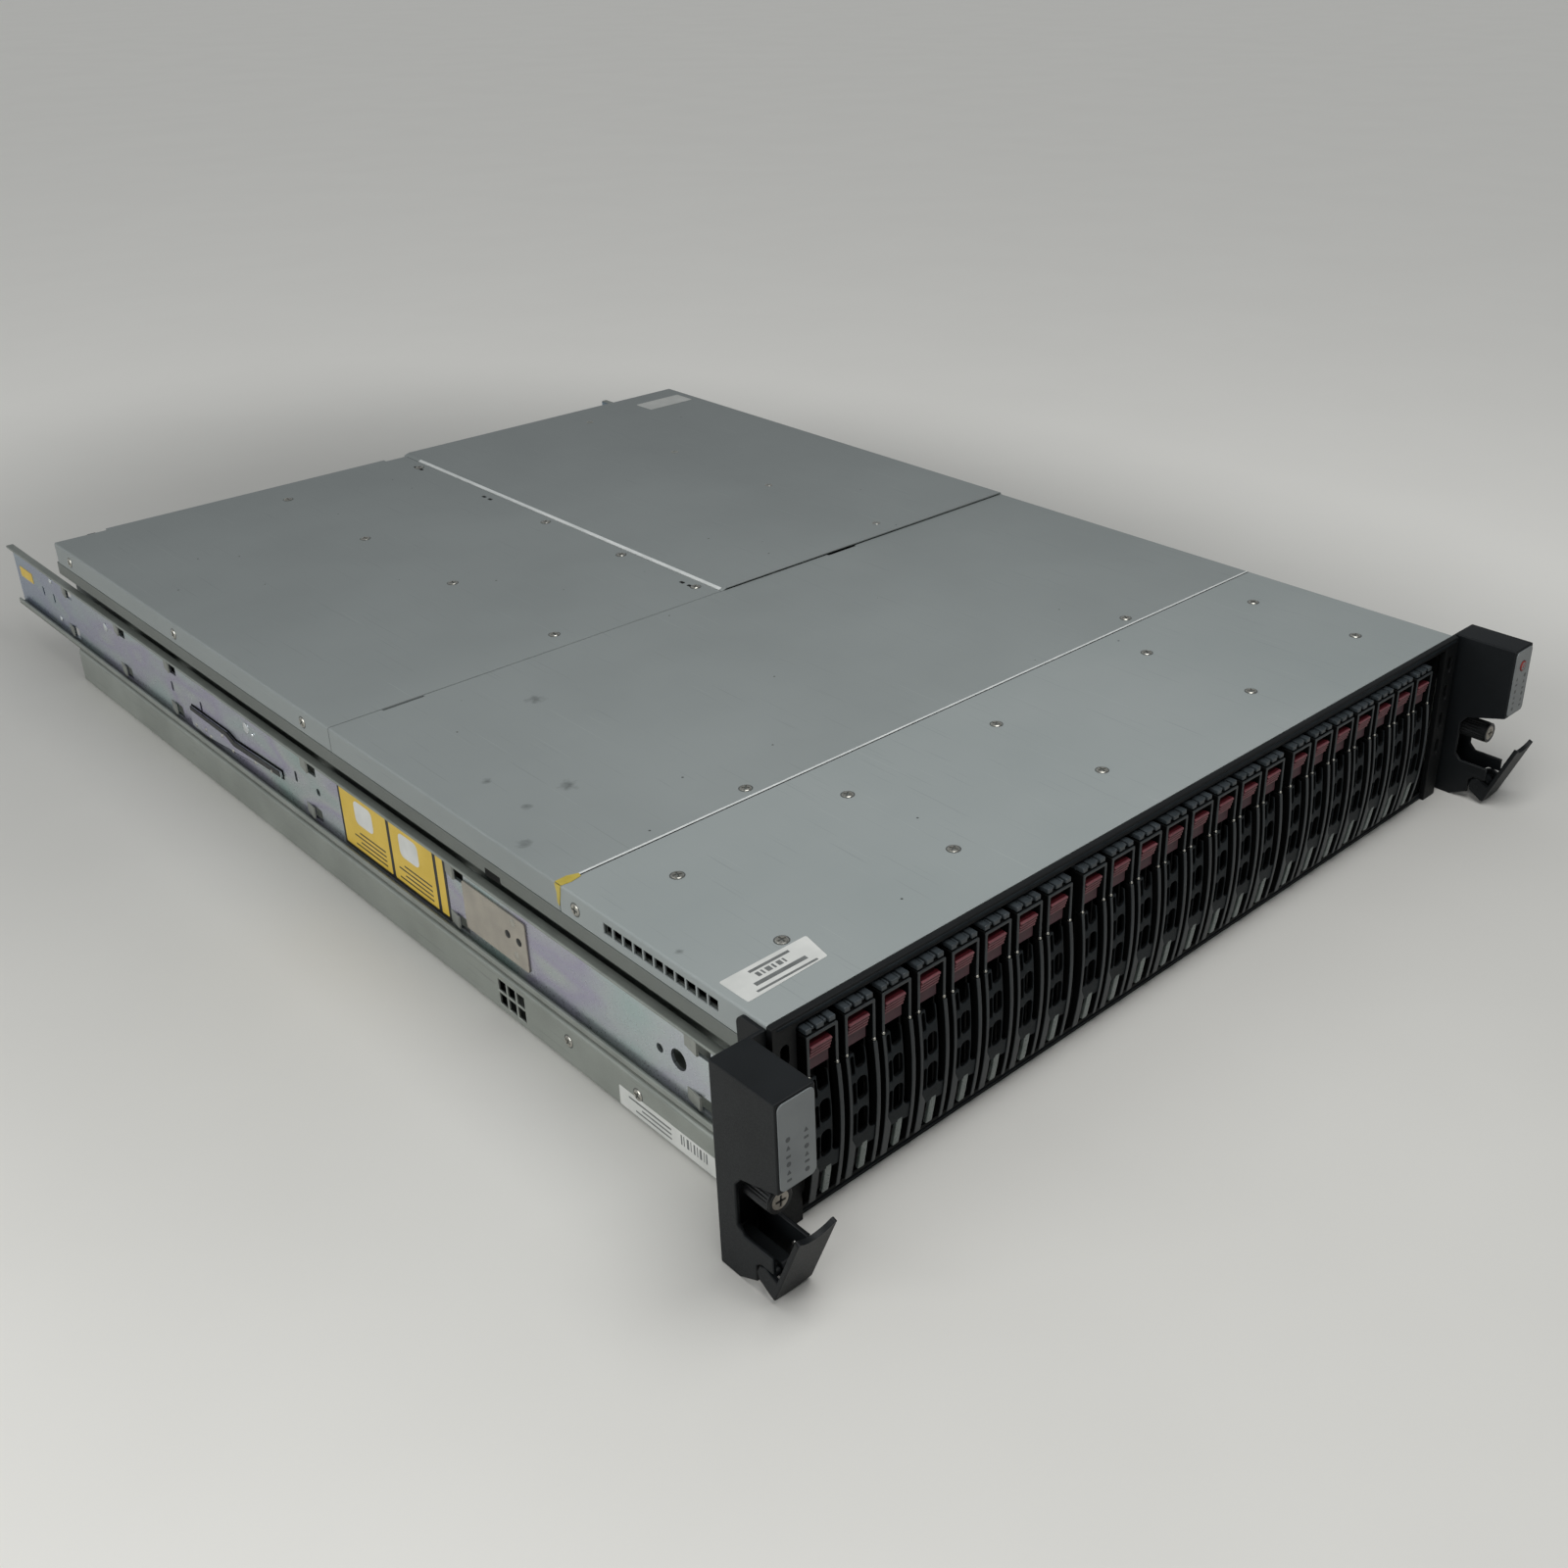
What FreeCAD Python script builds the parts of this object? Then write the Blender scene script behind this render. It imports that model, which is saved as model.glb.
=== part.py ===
import FreeCAD, Part
import math
import os

# A two-unit rack storage server: a folded steel chassis with lids in four pieces, a row of upright
# drive carriers in front, two rack ears with latch flaps, a pair of inner slide rails, and two node
# canisters and two power supplies behind.
# Millimetres. +X is to the right seen from the front, +Y runs to the rear, +Z is up.
# Everything is laid out with y = 0 at the front edge of the lid, and is moved forward by half the
# depth when it is written, so the origin is the centre of the chassis floor.

V = FreeCAD.Vector

# Drive and carrier. The stack of a drive in its bay sets the height of the chassis.
DRIVE_LENGTH = 100.2
DRIVE_WIDTH = 69.85
DRIVE_THICKNESS = 9.5
DRIVE_PLAY = 0.3
RUNNER_LOW = 3.0
RUNNER_HIGH = 4.95
RUNNER_GAP = 0.4
RUNNER_INSET = 0.8
RUNNER_END = 6.0
SILL_HEIGHT = 4.0
HEAD_HEIGHT = 3.8

# Chassis and lids
CHASSIS_WIDTH = 437.0
CHASSIS_DEPTH = 620.0
SHEET = 1.2
SEAT_GAP = 0.1
BEND_RADIUS = 2.0
LOWER_STRIP = 20.5
UPPER_STRIP = 20.5
CHANNEL_DEPTH = 7.0
LID_FLANGE = 12.0
LID_EDGE_RADIUS = 1.0
LID_SEAM = 0.5
FRONT_LID_DEPTH = 118.0
MIDDLE_LID_DEPTH = 177.0
SEAM_SLOT_LENGTH = 21.0
SEAM_SLOT_DEPTH = 1.6
SEAM_SLOT_CENTRES = (-182.0, 87.0)
RIDGE_X = 3.0
RIDGE_RUN = 3.5
RIDGE_RISE = 1.2
REAR_TAB_DEPTH = 3.0
REAR_TAB_INSET = 30.0
REAR_TAB_GAP = 14.0

# Vents in the side walls
VENT_PITCH = 6.0
VENT_BAR = 0.9
VENT_COUNT = 11
VENT_FRONT = 25.4
VENT_HEIGHT = 4.6
VENT_DROP = 8.3
GRID_PITCH = 6.8
GRID_BAR = 1.2
GRID_FRONT = 154.0
GRID_BASE = 4.2
GRID_COLUMNS = 3
GRID_ROWS = 2

# Front frame
FRAME_DEPTH = 3.0
FRAME_OVERHANG = 0.5
SILL_DEPTH = 1.0
POST_SLOT_WIDTH = 3.6
POST_SLOT_LENGTH = 8.5
POST_SLOT_PITCH = 15.0
POST_SLOT_COUNT = 4
POST_SLOT_DROP = 9.0

# Drive bays and cage
BAY_COUNT = 24
BAY_GROUP = 8
GROUP_GAP = 3.1
EMPTY_BAY = 23
BAY_GAP = 2.56
BAY_SIDE_ROOM = 1.56
CAGE_SHEET = 0.9
CAGE_DEPTH = 150.0
CAGE_FRONT = 1.0

# Carrier front, measured from its clip downwards and from the front edge of the lid backwards
WEB_FRONT = 6.0
WEB_SHEET = 1.6
CLIP_HEIGHT = 3.0
CLIP_NOTCH = 0.8
CLIP_SEGMENTS = 5
CLIP_FACE = -5.0
PILLAR_WIDTH = 1.4
LIGHT_BLOCK_HEIGHT = 16.0
LIGHT_BLOCK_FACE = -3.2
TAB_GAP = 1.8
TAB_HEIGHT = 14.0
TAB_FACE = -6.6
TAB_STEPS = 2
TAB_STEP_RISE = 2.5
TAB_STEP_RUN = 1.0
TAB_FOOT_HEIGHT = 5.5
TAB_RECESS = 3.2
TAB_THICKNESS = 5.6
PILLAR_TAIL = 1.5

# Carrier lever
LEVER_GAP = 0.5
LEVER_RIB = 1.5
LEVER_RIB_DEPTH = 4.2
LEVER_BOW = 2.45
LEVER_TOP_FACE = -6.9
LEVER_FOOT_FACE = -5.0
LEVER_FACETS = 3
LEVER_PLATE = 1.4
LEVER_PLATE_SET = 0.6
LEVER_PLATE_RISE = 15.6
WINDOW_MARGIN = 3.0
WINDOW_COUNT = 3
WINDOW_BAR = 2.2
WINDOW_CORNER = 1.6
LEVER_PIVOT_Y = -1.0
LEVER_PIVOT_Z = 9.2
LEVER_PIN_RADIUS = 1.2
LEVER_PIN_LENGTH = 1.4
PLAY = 0.3
PIVOT_GAP = 0.05

# Midplane
MIDPLANE_THICKNESS = 2.4
MIDPLANE_SIDE_GAP = 1.0
MIDPLANE_EDGE_GAP = 1.1
SOCKET_WIDTH = 4.6
SOCKET_HEIGHT = 34.0
SOCKET_DEPTH = 6.5

# Rack ears
EAR_OFFSET = 6.1
EAR_WIDTH = 16.7
EAR_DROP = 1.5
EAR_REACH = 30.0
EAR_FLANGE = 2.0
EAR_CHEEK = 1.8
EAR_CORNER = 3.0
BOX_FRONT_FOOT = 49.6
BOX_REAR_FOOT = 43.0
GRIP_BACK = 8.0
GRIP_FLOOR = 20.0
TAB_REACH = 14.0
TAB_SHEET = 1.5
TAB_ROUND = 4.0
UPPER_TAB_HEIGHT = 19.0
LOWER_TAB_HEIGHT = 16.0

# Ear latch flap and its pin
HINGE_Y = -21.5
HINGE_Z = 9.0
HINGE_LUG_RADIUS = 3.4
HINGE_LUG_WIDTH = 5.0
HINGE_PIN_RADIUS = 1.6
HINGE_NOTCH_GAP = 0.5
HINGE_CHAMFER = 2.2
FLAP_SHEET = 2.0
FLAP_STANDOFF = 4.5
FLAP_BOSS_RADIUS = 4.0
FLAP_FOOT_DROP = 5.0
FLAP_TOP_RISE = 30.5
FLAP_BELLY = 1.1
FLAP_BELLY_RUN = 5.0
FLAP_OPEN_DEG = 22.0
SCOOP_RADIUS = 9.5
SCOOP_HALF_WIDTH = 7.0

# Captive thumbscrew
RACK_HOLE_OFFSET = 14.05
SCREW_RADIUS = 2.5
SCREW_NECK_RADIUS = 2.0
SCREW_HOLE_GAP = 0.25
SCREW_REACH = 8.0
KNOB_RADIUS = 5.2
KNOB_HEAD_ROOM = 1.8
KNOB_FLATS = 16
KNOB_FACE = -20.6
KNOB_BACK = -6.5

# Control panels on the ears
OVERLAY_SHEET = 0.5
OVERLAY_MARGIN = 0.8
OVERLAY_CORNER = 2.0
BUTTON_RADIUS = 2.5
BUTTON_DROP = 9.5
BUTTON_PROUD = 0.5
BUTTON_LENGTH = 2.0
BUTTON_TRAVEL = 0.8

# Inner slide rails
RAIL_FRONT = 20.0
RAIL_OVERHANG = 85.0
RAIL_HEIGHT = 37.4
RAIL_STANDOFF = 4.7
RAIL_SHEET = 1.4
RAIL_FLANGE = 3.0
RAIL_LANCES = (618.0, 476.0, 324.0, 37.0)
LANCE_LENGTH = 9.0
LANCE_HEIGHT = 6.4
LANCE_SPACING = 24.0
RAIL_HOLE_Y = 51.5
RAIL_HOLE_RADIUS = 4.5
HOOK_COUNT = 4
HOOK_INSET = 100.0
HOOK_LENGTH = 10.0
HOOK_HEIGHT = 14.0
STOP_PLATE_Y = 147.0
STOP_PLATE_LENGTH = 46.0
STOP_PLATE_HEIGHT = 23.0
STOP_PLATE_SHEET = 0.8
RAIL_LATCH_Y = 452.0
RAIL_LATCH_DROP = 8.5
RAIL_LATCH_LENGTH = 96.0
RAIL_LATCH_SHEET = 1.2
RAIL_LATCH_RIVET = 2.5
RAIL_LATCH_HEEL = 6.0
RAIL_LATCH_TIP = 3.5
RAIL_LATCH_LIFT = 3.0

# Partitions and rear modules
WALL_SHEET = 1.2
WALL_LEDGE = 8.0
MODULE_GAP = 0.4
MODULE_SIDE_GAP = 1.0
MODULE_HEAD_GAP = 2.2
NOSE_GAP = 26.0
TRAY_SHEET = 1.0
TRAY_WALL_DROP = 10.0
STANDOFF_SIZE = 6.0
STANDOFF_HEIGHT = 4.0
STANDOFF_INSET = 12.0
BOARD_THICKNESS = 1.6
BOARD_MARGIN = 3.0
BOARD_NOSE = 10.0
PORT_WIDTH = 16.0
PORT_HEIGHT = 13.5
PORT_DEPTH = 18.0
PORT_WALL = 1.5
PORT_PITCH = 20.0
PORT_COUNT = 3
PORT_INSET = 12.0
COOLER_WIDTH = 70.0
COOLER_LENGTH = 92.0
COOLER_BASE = 5.0
COOLER_HEIGHT = 40.0
COOLER_FINS = 6
COOLER_FIN = 1.2
COOLER_FRONT = 120.0
MEMORY_LENGTH = 133.0
MEMORY_HEIGHT = 31.0
MEMORY_THICKNESS = 3.0
MEMORY_PITCH = 9.0
MEMORY_PER_SIDE = 3

# Canister fan
FAN_ROOM = 0.5
FAN_DEPTH = 25.0
FAN_RIM = 2.0
FAN_BORE_FLATS = 24
FAN_SIDE_GAP = 4.0
FAN_STRUT = 6.0
FAN_STRUT_HEIGHT = 10.0
FAN_HUB_RADIUS = 16.0
FAN_HUB_GAP = 1.0
FAN_HUB_LENGTH = 15.0
FAN_SHAFT_RADIUS = 2.0
FAN_SHAFT_LENGTH = 4.5
FAN_TIP_GAP = 1.0
FAN_BLADES = 7
BLADE_CHORD = 14.0
BLADE_THICKNESS = 1.6
BLADE_PITCH_DEG = 35.0
EXHAUST_SLOTS = 6
EXHAUST_PITCH = 12.0
EXHAUST_SLOT = 7.0
EXHAUST_WIDTH = 66.0

# Canister lever
ARM_LENGTH = 60.0
ARM_HEIGHT = 9.0
ARM_SHEET = 4.0
ARM_HEEL = 2.5
ARM_INSET = 10.0
ARM_DROP = 12.0
AXLE_RADIUS = 1.5
AXLE_OFFSET = 4.0
LUG_SHEET = 1.6
LUG_REACH = 7.0
LUG_WIDTH = 8.0

# Power supply
PSU_WIDTH = 40.0
PSU_LENGTH = 320.0
PSU_SHEET = 1.0
INLET_WIDTH = 30.0
INLET_HEIGHT = 24.0
INLET_DEPTH = 20.0
INLET_WALL = 3.0
INLET_POCKET = 16.0
INLET_BASE = 8.0
INLET_PIN = 2.0
INLET_PIN_LENGTH = 9.0
INLET_PIN_PITCH = 7.0
HANDLE_BAR = 5.0
HANDLE_SPAN = 36.0
HANDLE_REACH = 25.0
HANDLE_BASE = 40.0
LATCH_WIDTH = 5.0
LATCH_HEIGHT = 20.0
LATCH_REACH = 12.0
LATCH_OFFSET = 12.0
PSU_SLOT_COUNT = 2
PSU_SLOT_INSET = 3.0
PSU_SLOT_PITCH = 7.0
PSU_SLOT_WIDTH = 3.5
PSU_SLOT_HEIGHT = 32.0

# Places that several pieces share
carrier_foot = SILL_HEIGHT + RUNNER_GAP
drive_foot = carrier_foot + RUNNER_LOW + DRIVE_PLAY
drive_top = drive_foot + DRIVE_WIDTH
carrier_top = drive_top + DRIVE_PLAY + RUNNER_HIGH
head_z = carrier_top + RUNNER_GAP
chassis_height = head_z + HEAD_HEIGHT
half_width = CHASSIS_WIDTH / 2
lid_under = chassis_height - SHEET
lid_foot = chassis_height - LID_FLANGE
channel_x = half_width - CHANNEL_DEPTH
channel_low = LOWER_STRIP
channel_high = chassis_height - UPPER_STRIP
inner_x = channel_x - SHEET
seam_front = FRONT_LID_DEPTH
seam_rear = FRONT_LID_DEPTH + MIDDLE_LID_DEPTH

cage_wall = inner_x - SEAT_GAP
bays_x = cage_wall - CAGE_SHEET - BAY_SIDE_ROOM
bay_groups = math.ceil(BAY_COUNT / BAY_GROUP)
bay_pitch = (2 * bays_x + BAY_GAP - (bay_groups - 1) * GROUP_GAP) / BAY_COUNT
carrier_width = bay_pitch - BAY_GAP
cage_end = CAGE_FRONT + CAGE_DEPTH
socket_face = cage_end - SOCKET_DEPTH
midplane_back = cage_end + MIDPLANE_THICKNESS
clip_foot = carrier_top - CLIP_HEIGHT
tab_top = clip_foot - TAB_GAP
tab_foot = tab_top - TAB_HEIGHT
pillar_foot = tab_foot - PILLAR_TAIL
lever_top = pillar_foot - LEVER_GAP
heel_radius = LEVER_PIN_RADIUS + PLAY
lever_foot = LEVER_PIVOT_Z - heel_radius

ear_in = half_width + EAR_OFFSET
ear_out = ear_in + EAR_WIDTH
ear_mid = (ear_in + ear_out) / 2
ear_top = chassis_height - EAR_DROP
rack_hole_x = half_width + RACK_HOLE_OFFSET
rack_hole_z = BOX_REAR_FOOT - KNOB_RADIUS - KNOB_HEAD_ROOM
button_z = ear_top - BUTTON_DROP

rail_back = channel_x + RAIL_STANDOFF
rail_face = rail_back + RAIL_SHEET
rail_edge = rail_face + RAIL_FLANGE
rail_z = (channel_low + channel_high) / 2

module_foot = SHEET + MODULE_GAP
module_top = lid_under - MODULE_HEAD_GAP
psu_front = CHASSIS_DEPTH - PSU_LENGTH
psu_right = inner_x - MODULE_SIDE_GAP
psu_left = psu_right - PSU_WIDTH
psu_mid = (psu_left + psu_right) / 2
psu_wall = psu_left - MODULE_SIDE_GAP - WALL_SHEET
canister_left = WALL_SHEET / 2 + MODULE_SIDE_GAP
canister_right = psu_wall - MODULE_SIDE_GAP
canister_mid = (canister_left + canister_right) / 2
canister_front = midplane_back + NOSE_GAP
panel_face = CHASSIS_DEPTH - TRAY_SHEET
board_foot = module_foot + TRAY_SHEET + STANDOFF_HEIGHT
board_top = board_foot + BOARD_THICKNESS
board_front = canister_front + BOARD_NOSE
port_front = CHASSIS_DEPTH - PORT_DEPTH
fan_size = module_top - module_foot - TRAY_SHEET - 2 * FAN_ROOM
fan_x = canister_left + TRAY_SHEET + FAN_SIDE_GAP + fan_size / 2
fan_z = module_foot + TRAY_SHEET + FAN_ROOM + fan_size / 2
fan_bore = fan_size / 2 - FAN_RIM
fan_front = panel_face - FAN_DEPTH
board_end = fan_front - FAN_SIDE_GAP
handle_low = module_foot + HANDLE_BASE


def box(x0, x1, y0, y1, z0, z1):
    return Part.makeBox(x1 - x0, y1 - y0, z1 - z0, V(x0, y0, z0))


def rod(axis, start, radius, length):
    ways = {"x": V(1, 0, 0), "y": V(0, 1, 0), "z": V(0, 0, 1)}
    return Part.makeCylinder(radius, length, V(*start), ways[axis])


def rounded_wire(corners, place):
    """Closed wire through flat corners (a, b), or (a, b, radius) where one is rounded."""
    points = [V(corner[0], corner[1], 0) for corner in corners]
    spans = []
    for i, corner in enumerate(corners):
        if len(corner) == 2:
            spans.append((points[i], None, points[i]))
            continue
        back = (points[i - 1] - points[i]).normalize()
        ahead = (points[(i + 1) % len(points)] - points[i]).normalize()
        half_angle = back.getAngle(ahead) / 2
        reach = corner[2] / math.tan(half_angle)
        inward = (back + ahead).normalize()
        middle = points[i] + inward * (corner[2] / math.sin(half_angle) - corner[2])
        spans.append((points[i] + back * reach, middle, points[i] + ahead * reach))
    edges = []
    for i, (start, middle, end) in enumerate(spans):
        if middle:
            edges.append(Part.Arc(place(start), place(middle), place(end)).toShape())
        following = spans[(i + 1) % len(spans)][0]
        if (following - end).Length > 1e-6:
            edges.append(Part.LineSegment(place(end), place(following)).toShape())
    return Part.Wire(edges)


def prism(axis, corners, low, high):
    """Solid of one section: its flat outline lies across the named axis."""
    places = {
        "x": lambda p: V(low, p.x, p.y),
        "y": lambda p: V(p.x, low, p.y),
        "z": lambda p: V(p.x, p.y, low),
    }
    ways = {"x": V(1, 0, 0), "y": V(0, 1, 0), "z": V(0, 0, 1)}
    face = Part.Face(rounded_wire(corners, places[axis]))
    return face.extrude(ways[axis] * (high - low))


def polygon(a, b, radius, sides):
    """Corners of a regular outline about a centre."""
    turns = [2 * math.pi * i / sides for i in range(sides)]
    return [(a + radius * math.sin(turn), b + radius * math.cos(turn)) for turn in turns]


def both_sides(right):
    """Outline that is the same left and right, from the corners of its right half."""
    return right + [(-corner[0],) + corner[1:] for corner in reversed(right)]


def fuse(solids):
    return solids[0].multiFuse(solids[1:]).removeSplitter()


def cut(solid, tools):
    return solid.cut(Part.makeCompound(tools))


def mirrored(shape):
    return shape.mirror(V(0, 0, 0), V(1, 0, 0))


def save(name, solids):
    shape = Part.makeCompound(solids)
    shape.translate(V(0, -CHASSIS_DEPTH / 2, 0))
    shape.exportStep("parts/" + name + ".step")


def save_pair(name, solids):
    """Write the right-hand piece as it stands and the left-hand one as its mirror image."""
    save(name + "_right", solids)
    save(name + "_left", [mirrored(solid) for solid in solids])


def bay_x(bay):
    """Left side of the carrier in a bay, counted from 0 at the left."""
    return -bays_x + bay * bay_pitch + (bay // BAY_GROUP) * GROUP_GAP


def across(y0, y1, z0, z1):
    """Cutter right across the chassis, for a hole in both side walls."""
    reach = half_width + SHEET
    return box(-reach, reach, y0, y1, z0, z1)


def chassis_base():
    """Folded pan: floor, side walls with the rail channel, and lips under the lids."""
    step = lid_foot - 2 * SEAT_GAP
    lip = half_width - SHEET - SEAT_GAP
    lip_top = lid_under - SEAT_GAP
    section = both_sides([
        (half_width, 0, BEND_RADIUS),
        (half_width, channel_low, BEND_RADIUS),
        (channel_x, channel_low),
        (channel_x, channel_high),
        (half_width, channel_high, BEND_RADIUS),
        (half_width, step),
        (lip, step),
        (lip, lip_top),
        (lip - SHEET, lip_top),
        (lip - SHEET, step - SHEET),
        (half_width - SHEET, step - SHEET),
        (half_width - SHEET, channel_high + SHEET),
        (inner_x, channel_high + SHEET),
        (inner_x, channel_low - SHEET),
        (half_width - SHEET, channel_low - SHEET),
        (half_width - SHEET, SHEET),
    ])
    pieces = [prism("y", section, 0, CHASSIS_DEPTH)]
    pitch = (CHASSIS_DEPTH - 2 * HOOK_INSET - HOOK_LENGTH) / (HOOK_COUNT - 1)
    for i in range(HOOK_COUNT):
        y = HOOK_INSET + i * pitch
        for low, high in ((channel_x, rail_back), (-rail_back, -channel_x)):
            pieces.append(box(low, high, y, y + HOOK_LENGTH,
                              rail_z - HOOK_HEIGHT / 2, rail_z + HOOK_HEIGHT / 2))
    vent_z = chassis_height - VENT_DROP
    vent_end = VENT_FRONT + VENT_COUNT * VENT_PITCH - VENT_BAR
    tools = [across(VENT_FRONT, vent_end, vent_z, vent_z + VENT_HEIGHT)]
    side = GRID_PITCH - GRID_BAR
    for column in range(GRID_COLUMNS):
        for row in range(GRID_ROWS):
            y = GRID_FRONT + column * GRID_PITCH
            z = GRID_BASE + row * GRID_PITCH
            tools.append(across(y, y + side, z, z + side))
    return cut(fuse(pieces), tools)


def lid(front, rear):
    """Full-width lid with a flange down each side."""
    section = both_sides([
        (half_width - SHEET, lid_under),
        (half_width - SHEET, lid_foot),
        (half_width, lid_foot),
        (half_width, chassis_height, LID_EDGE_RADIUS),
    ])
    return prism("y", section, front, rear)


def front_lid():
    """Lid over the drives, with a row of square vents in each flange."""
    z = chassis_height - VENT_DROP
    vents = []
    for i in range(VENT_COUNT):
        y = VENT_FRONT + i * VENT_PITCH
        vents.append(across(y, y + VENT_PITCH - VENT_BAR, z, z + VENT_HEIGHT))
    return cut(lid(0, seam_front), vents)


def middle_lid():
    """Lid over the middle, with two pry slots in its rear edge."""
    reach = SEAM_SLOT_LENGTH / 2
    slots = [box(x - reach, x + reach, seam_rear - SEAM_SLOT_DEPTH, seam_rear,
                 lid_under, chassis_height) for x in SEAM_SLOT_CENTRES]
    return cut(lid(seam_front + LID_SEAM, seam_rear), slots)


def rear_lid_left():
    """Left rear lid. Its middle reaches a little further back than its corners."""
    shoulder = CHASSIS_DEPTH - REAR_TAB_DEPTH
    edge = RIDGE_X - LID_SEAM
    section = [
        (-half_width, lid_foot),
        (-half_width, chassis_height, LID_EDGE_RADIUS),
        (edge, chassis_height),
        (edge, lid_under),
        (-half_width + SHEET, lid_under),
        (-half_width + SHEET, lid_foot),
    ]
    tab = box(-half_width + REAR_TAB_INSET, edge - REAR_TAB_GAP, shoulder, CHASSIS_DEPTH,
              lid_under, chassis_height)
    return fuse([prism("y", section, seam_rear + LID_SEAM, shoulder), tab])


def rear_lid_right():
    """Right rear lid, raised on a sloping ridge where it meets the left one."""
    top = chassis_height + RIDGE_RISE
    section = [
        (RIDGE_X, lid_under),
        (RIDGE_X, chassis_height),
        (RIDGE_X + RIDGE_RUN, top),
        (half_width, top, LID_EDGE_RADIUS),
        (half_width, lid_foot),
        (half_width - SHEET, lid_foot),
        (half_width - SHEET, top - SHEET),
        (RIDGE_X + RIDGE_RUN + SEAT_GAP, top - SHEET),
        (RIDGE_X + SHEET, lid_under),
    ]
    return prism("y", section, seam_rear + LID_SEAM, CHASSIS_DEPTH)


def partitions():
    """Wall between the two rear halves, and the walls beside the power supplies."""
    top = lid_under - SEAT_GAP
    side = WALL_SHEET / 2
    section = [(side, SHEET), (side, top), (-WALL_LEDGE, top), (-WALL_LEDGE, top - WALL_SHEET),
               (-side, top - WALL_SHEET), (-side, SHEET)]
    centre = prism("y", section, canister_front, CHASSIS_DEPTH)
    beside = box(psu_wall, psu_wall + WALL_SHEET, psu_front, CHASSIS_DEPTH, SHEET, top)
    return [centre, beside, mirrored(beside)]


def front_frame():
    """Black frame round the drive bays, with slotted posts and a shallow sill."""
    out = half_width + FRAME_OVERHANG
    opening = bays_x + BAY_SIDE_ROOM / 2
    plate = box(-out, out, -FRAME_DEPTH, 0, 0, chassis_height)
    tools = [
        box(-opening, opening, -FRAME_DEPTH, 0, SILL_HEIGHT, head_z),
        box(-opening, opening, -FRAME_DEPTH, -SILL_DEPTH, 0, SILL_HEIGHT),
    ]
    middle = (opening + out) / 2
    reach = POST_SLOT_WIDTH / 2
    for i in range(POST_SLOT_COUNT):
        top = chassis_height - POST_SLOT_DROP - i * POST_SLOT_PITCH
        for x in (middle, -middle):
            tools.append(box(x - reach, x + reach, -FRAME_DEPTH, 0, top - POST_SLOT_LENGTH, top))
    return cut(plate, tools)


def drive_cage():
    """Sheet cage: two side walls, roof and floor plates, and a divider between bays."""
    inside = cage_wall - CAGE_SHEET
    solids = []
    for low, high in ((inside, cage_wall), (-cage_wall, -inside)):
        solids.append(box(low, high, CAGE_FRONT, cage_end, SHEET, lid_under - SEAT_GAP))
    for z in (SILL_HEIGHT - CAGE_SHEET, head_z):
        solids.append(box(-inside, inside, CAGE_FRONT, cage_end, z, z + CAGE_SHEET))
    for bay in range(BAY_COUNT - 1):
        x = (bay_x(bay) + carrier_width + bay_x(bay + 1) - CAGE_SHEET) / 2
        solids.append(box(x, x + CAGE_SHEET, CAGE_FRONT, cage_end, SILL_HEIGHT, head_z))
    return solids


def midplane():
    """Circuit board behind the cage, with a drive socket in line with each bay."""
    reach = inner_x - MIDPLANE_SIDE_GAP
    middle = (SILL_HEIGHT + head_z) / 2
    solids = [box(-reach, reach, cage_end, midplane_back,
                  SILL_HEIGHT + MIDPLANE_EDGE_GAP, head_z - MIDPLANE_EDGE_GAP)]
    for bay in range(BAY_COUNT):
        x = bay_x(bay) + carrier_width / 2
        solids.append(box(x - SOCKET_WIDTH / 2, x + SOCKET_WIDTH / 2, socket_face, cage_end,
                          middle - SOCKET_HEIGHT / 2, middle + SOCKET_HEIGHT / 2))
    return solids


def bow(z):
    """How far forward the lever's face stands at a height: a slope with a parabola on it."""
    share = (z - lever_foot) / (lever_top - lever_foot)
    slope = LEVER_FOOT_FACE + share * (LEVER_TOP_FACE - LEVER_FOOT_FACE)
    return slope - 4 * LEVER_BOW * share * (1 - share)


def lever_outline(heel):
    """A carrier's lever from the side: a bowed bar, closed by the corners of its heel."""
    heights = [lever_foot + (lever_top - lever_foot) * i / LEVER_FACETS
               for i in range(LEVER_FACETS + 1)]
    outline = [(bow(z), z) for z in heights]
    outline += [(bow(z) + LEVER_RIB_DEPTH, z) for z in reversed(heights[1:])]
    return outline + heel


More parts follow.
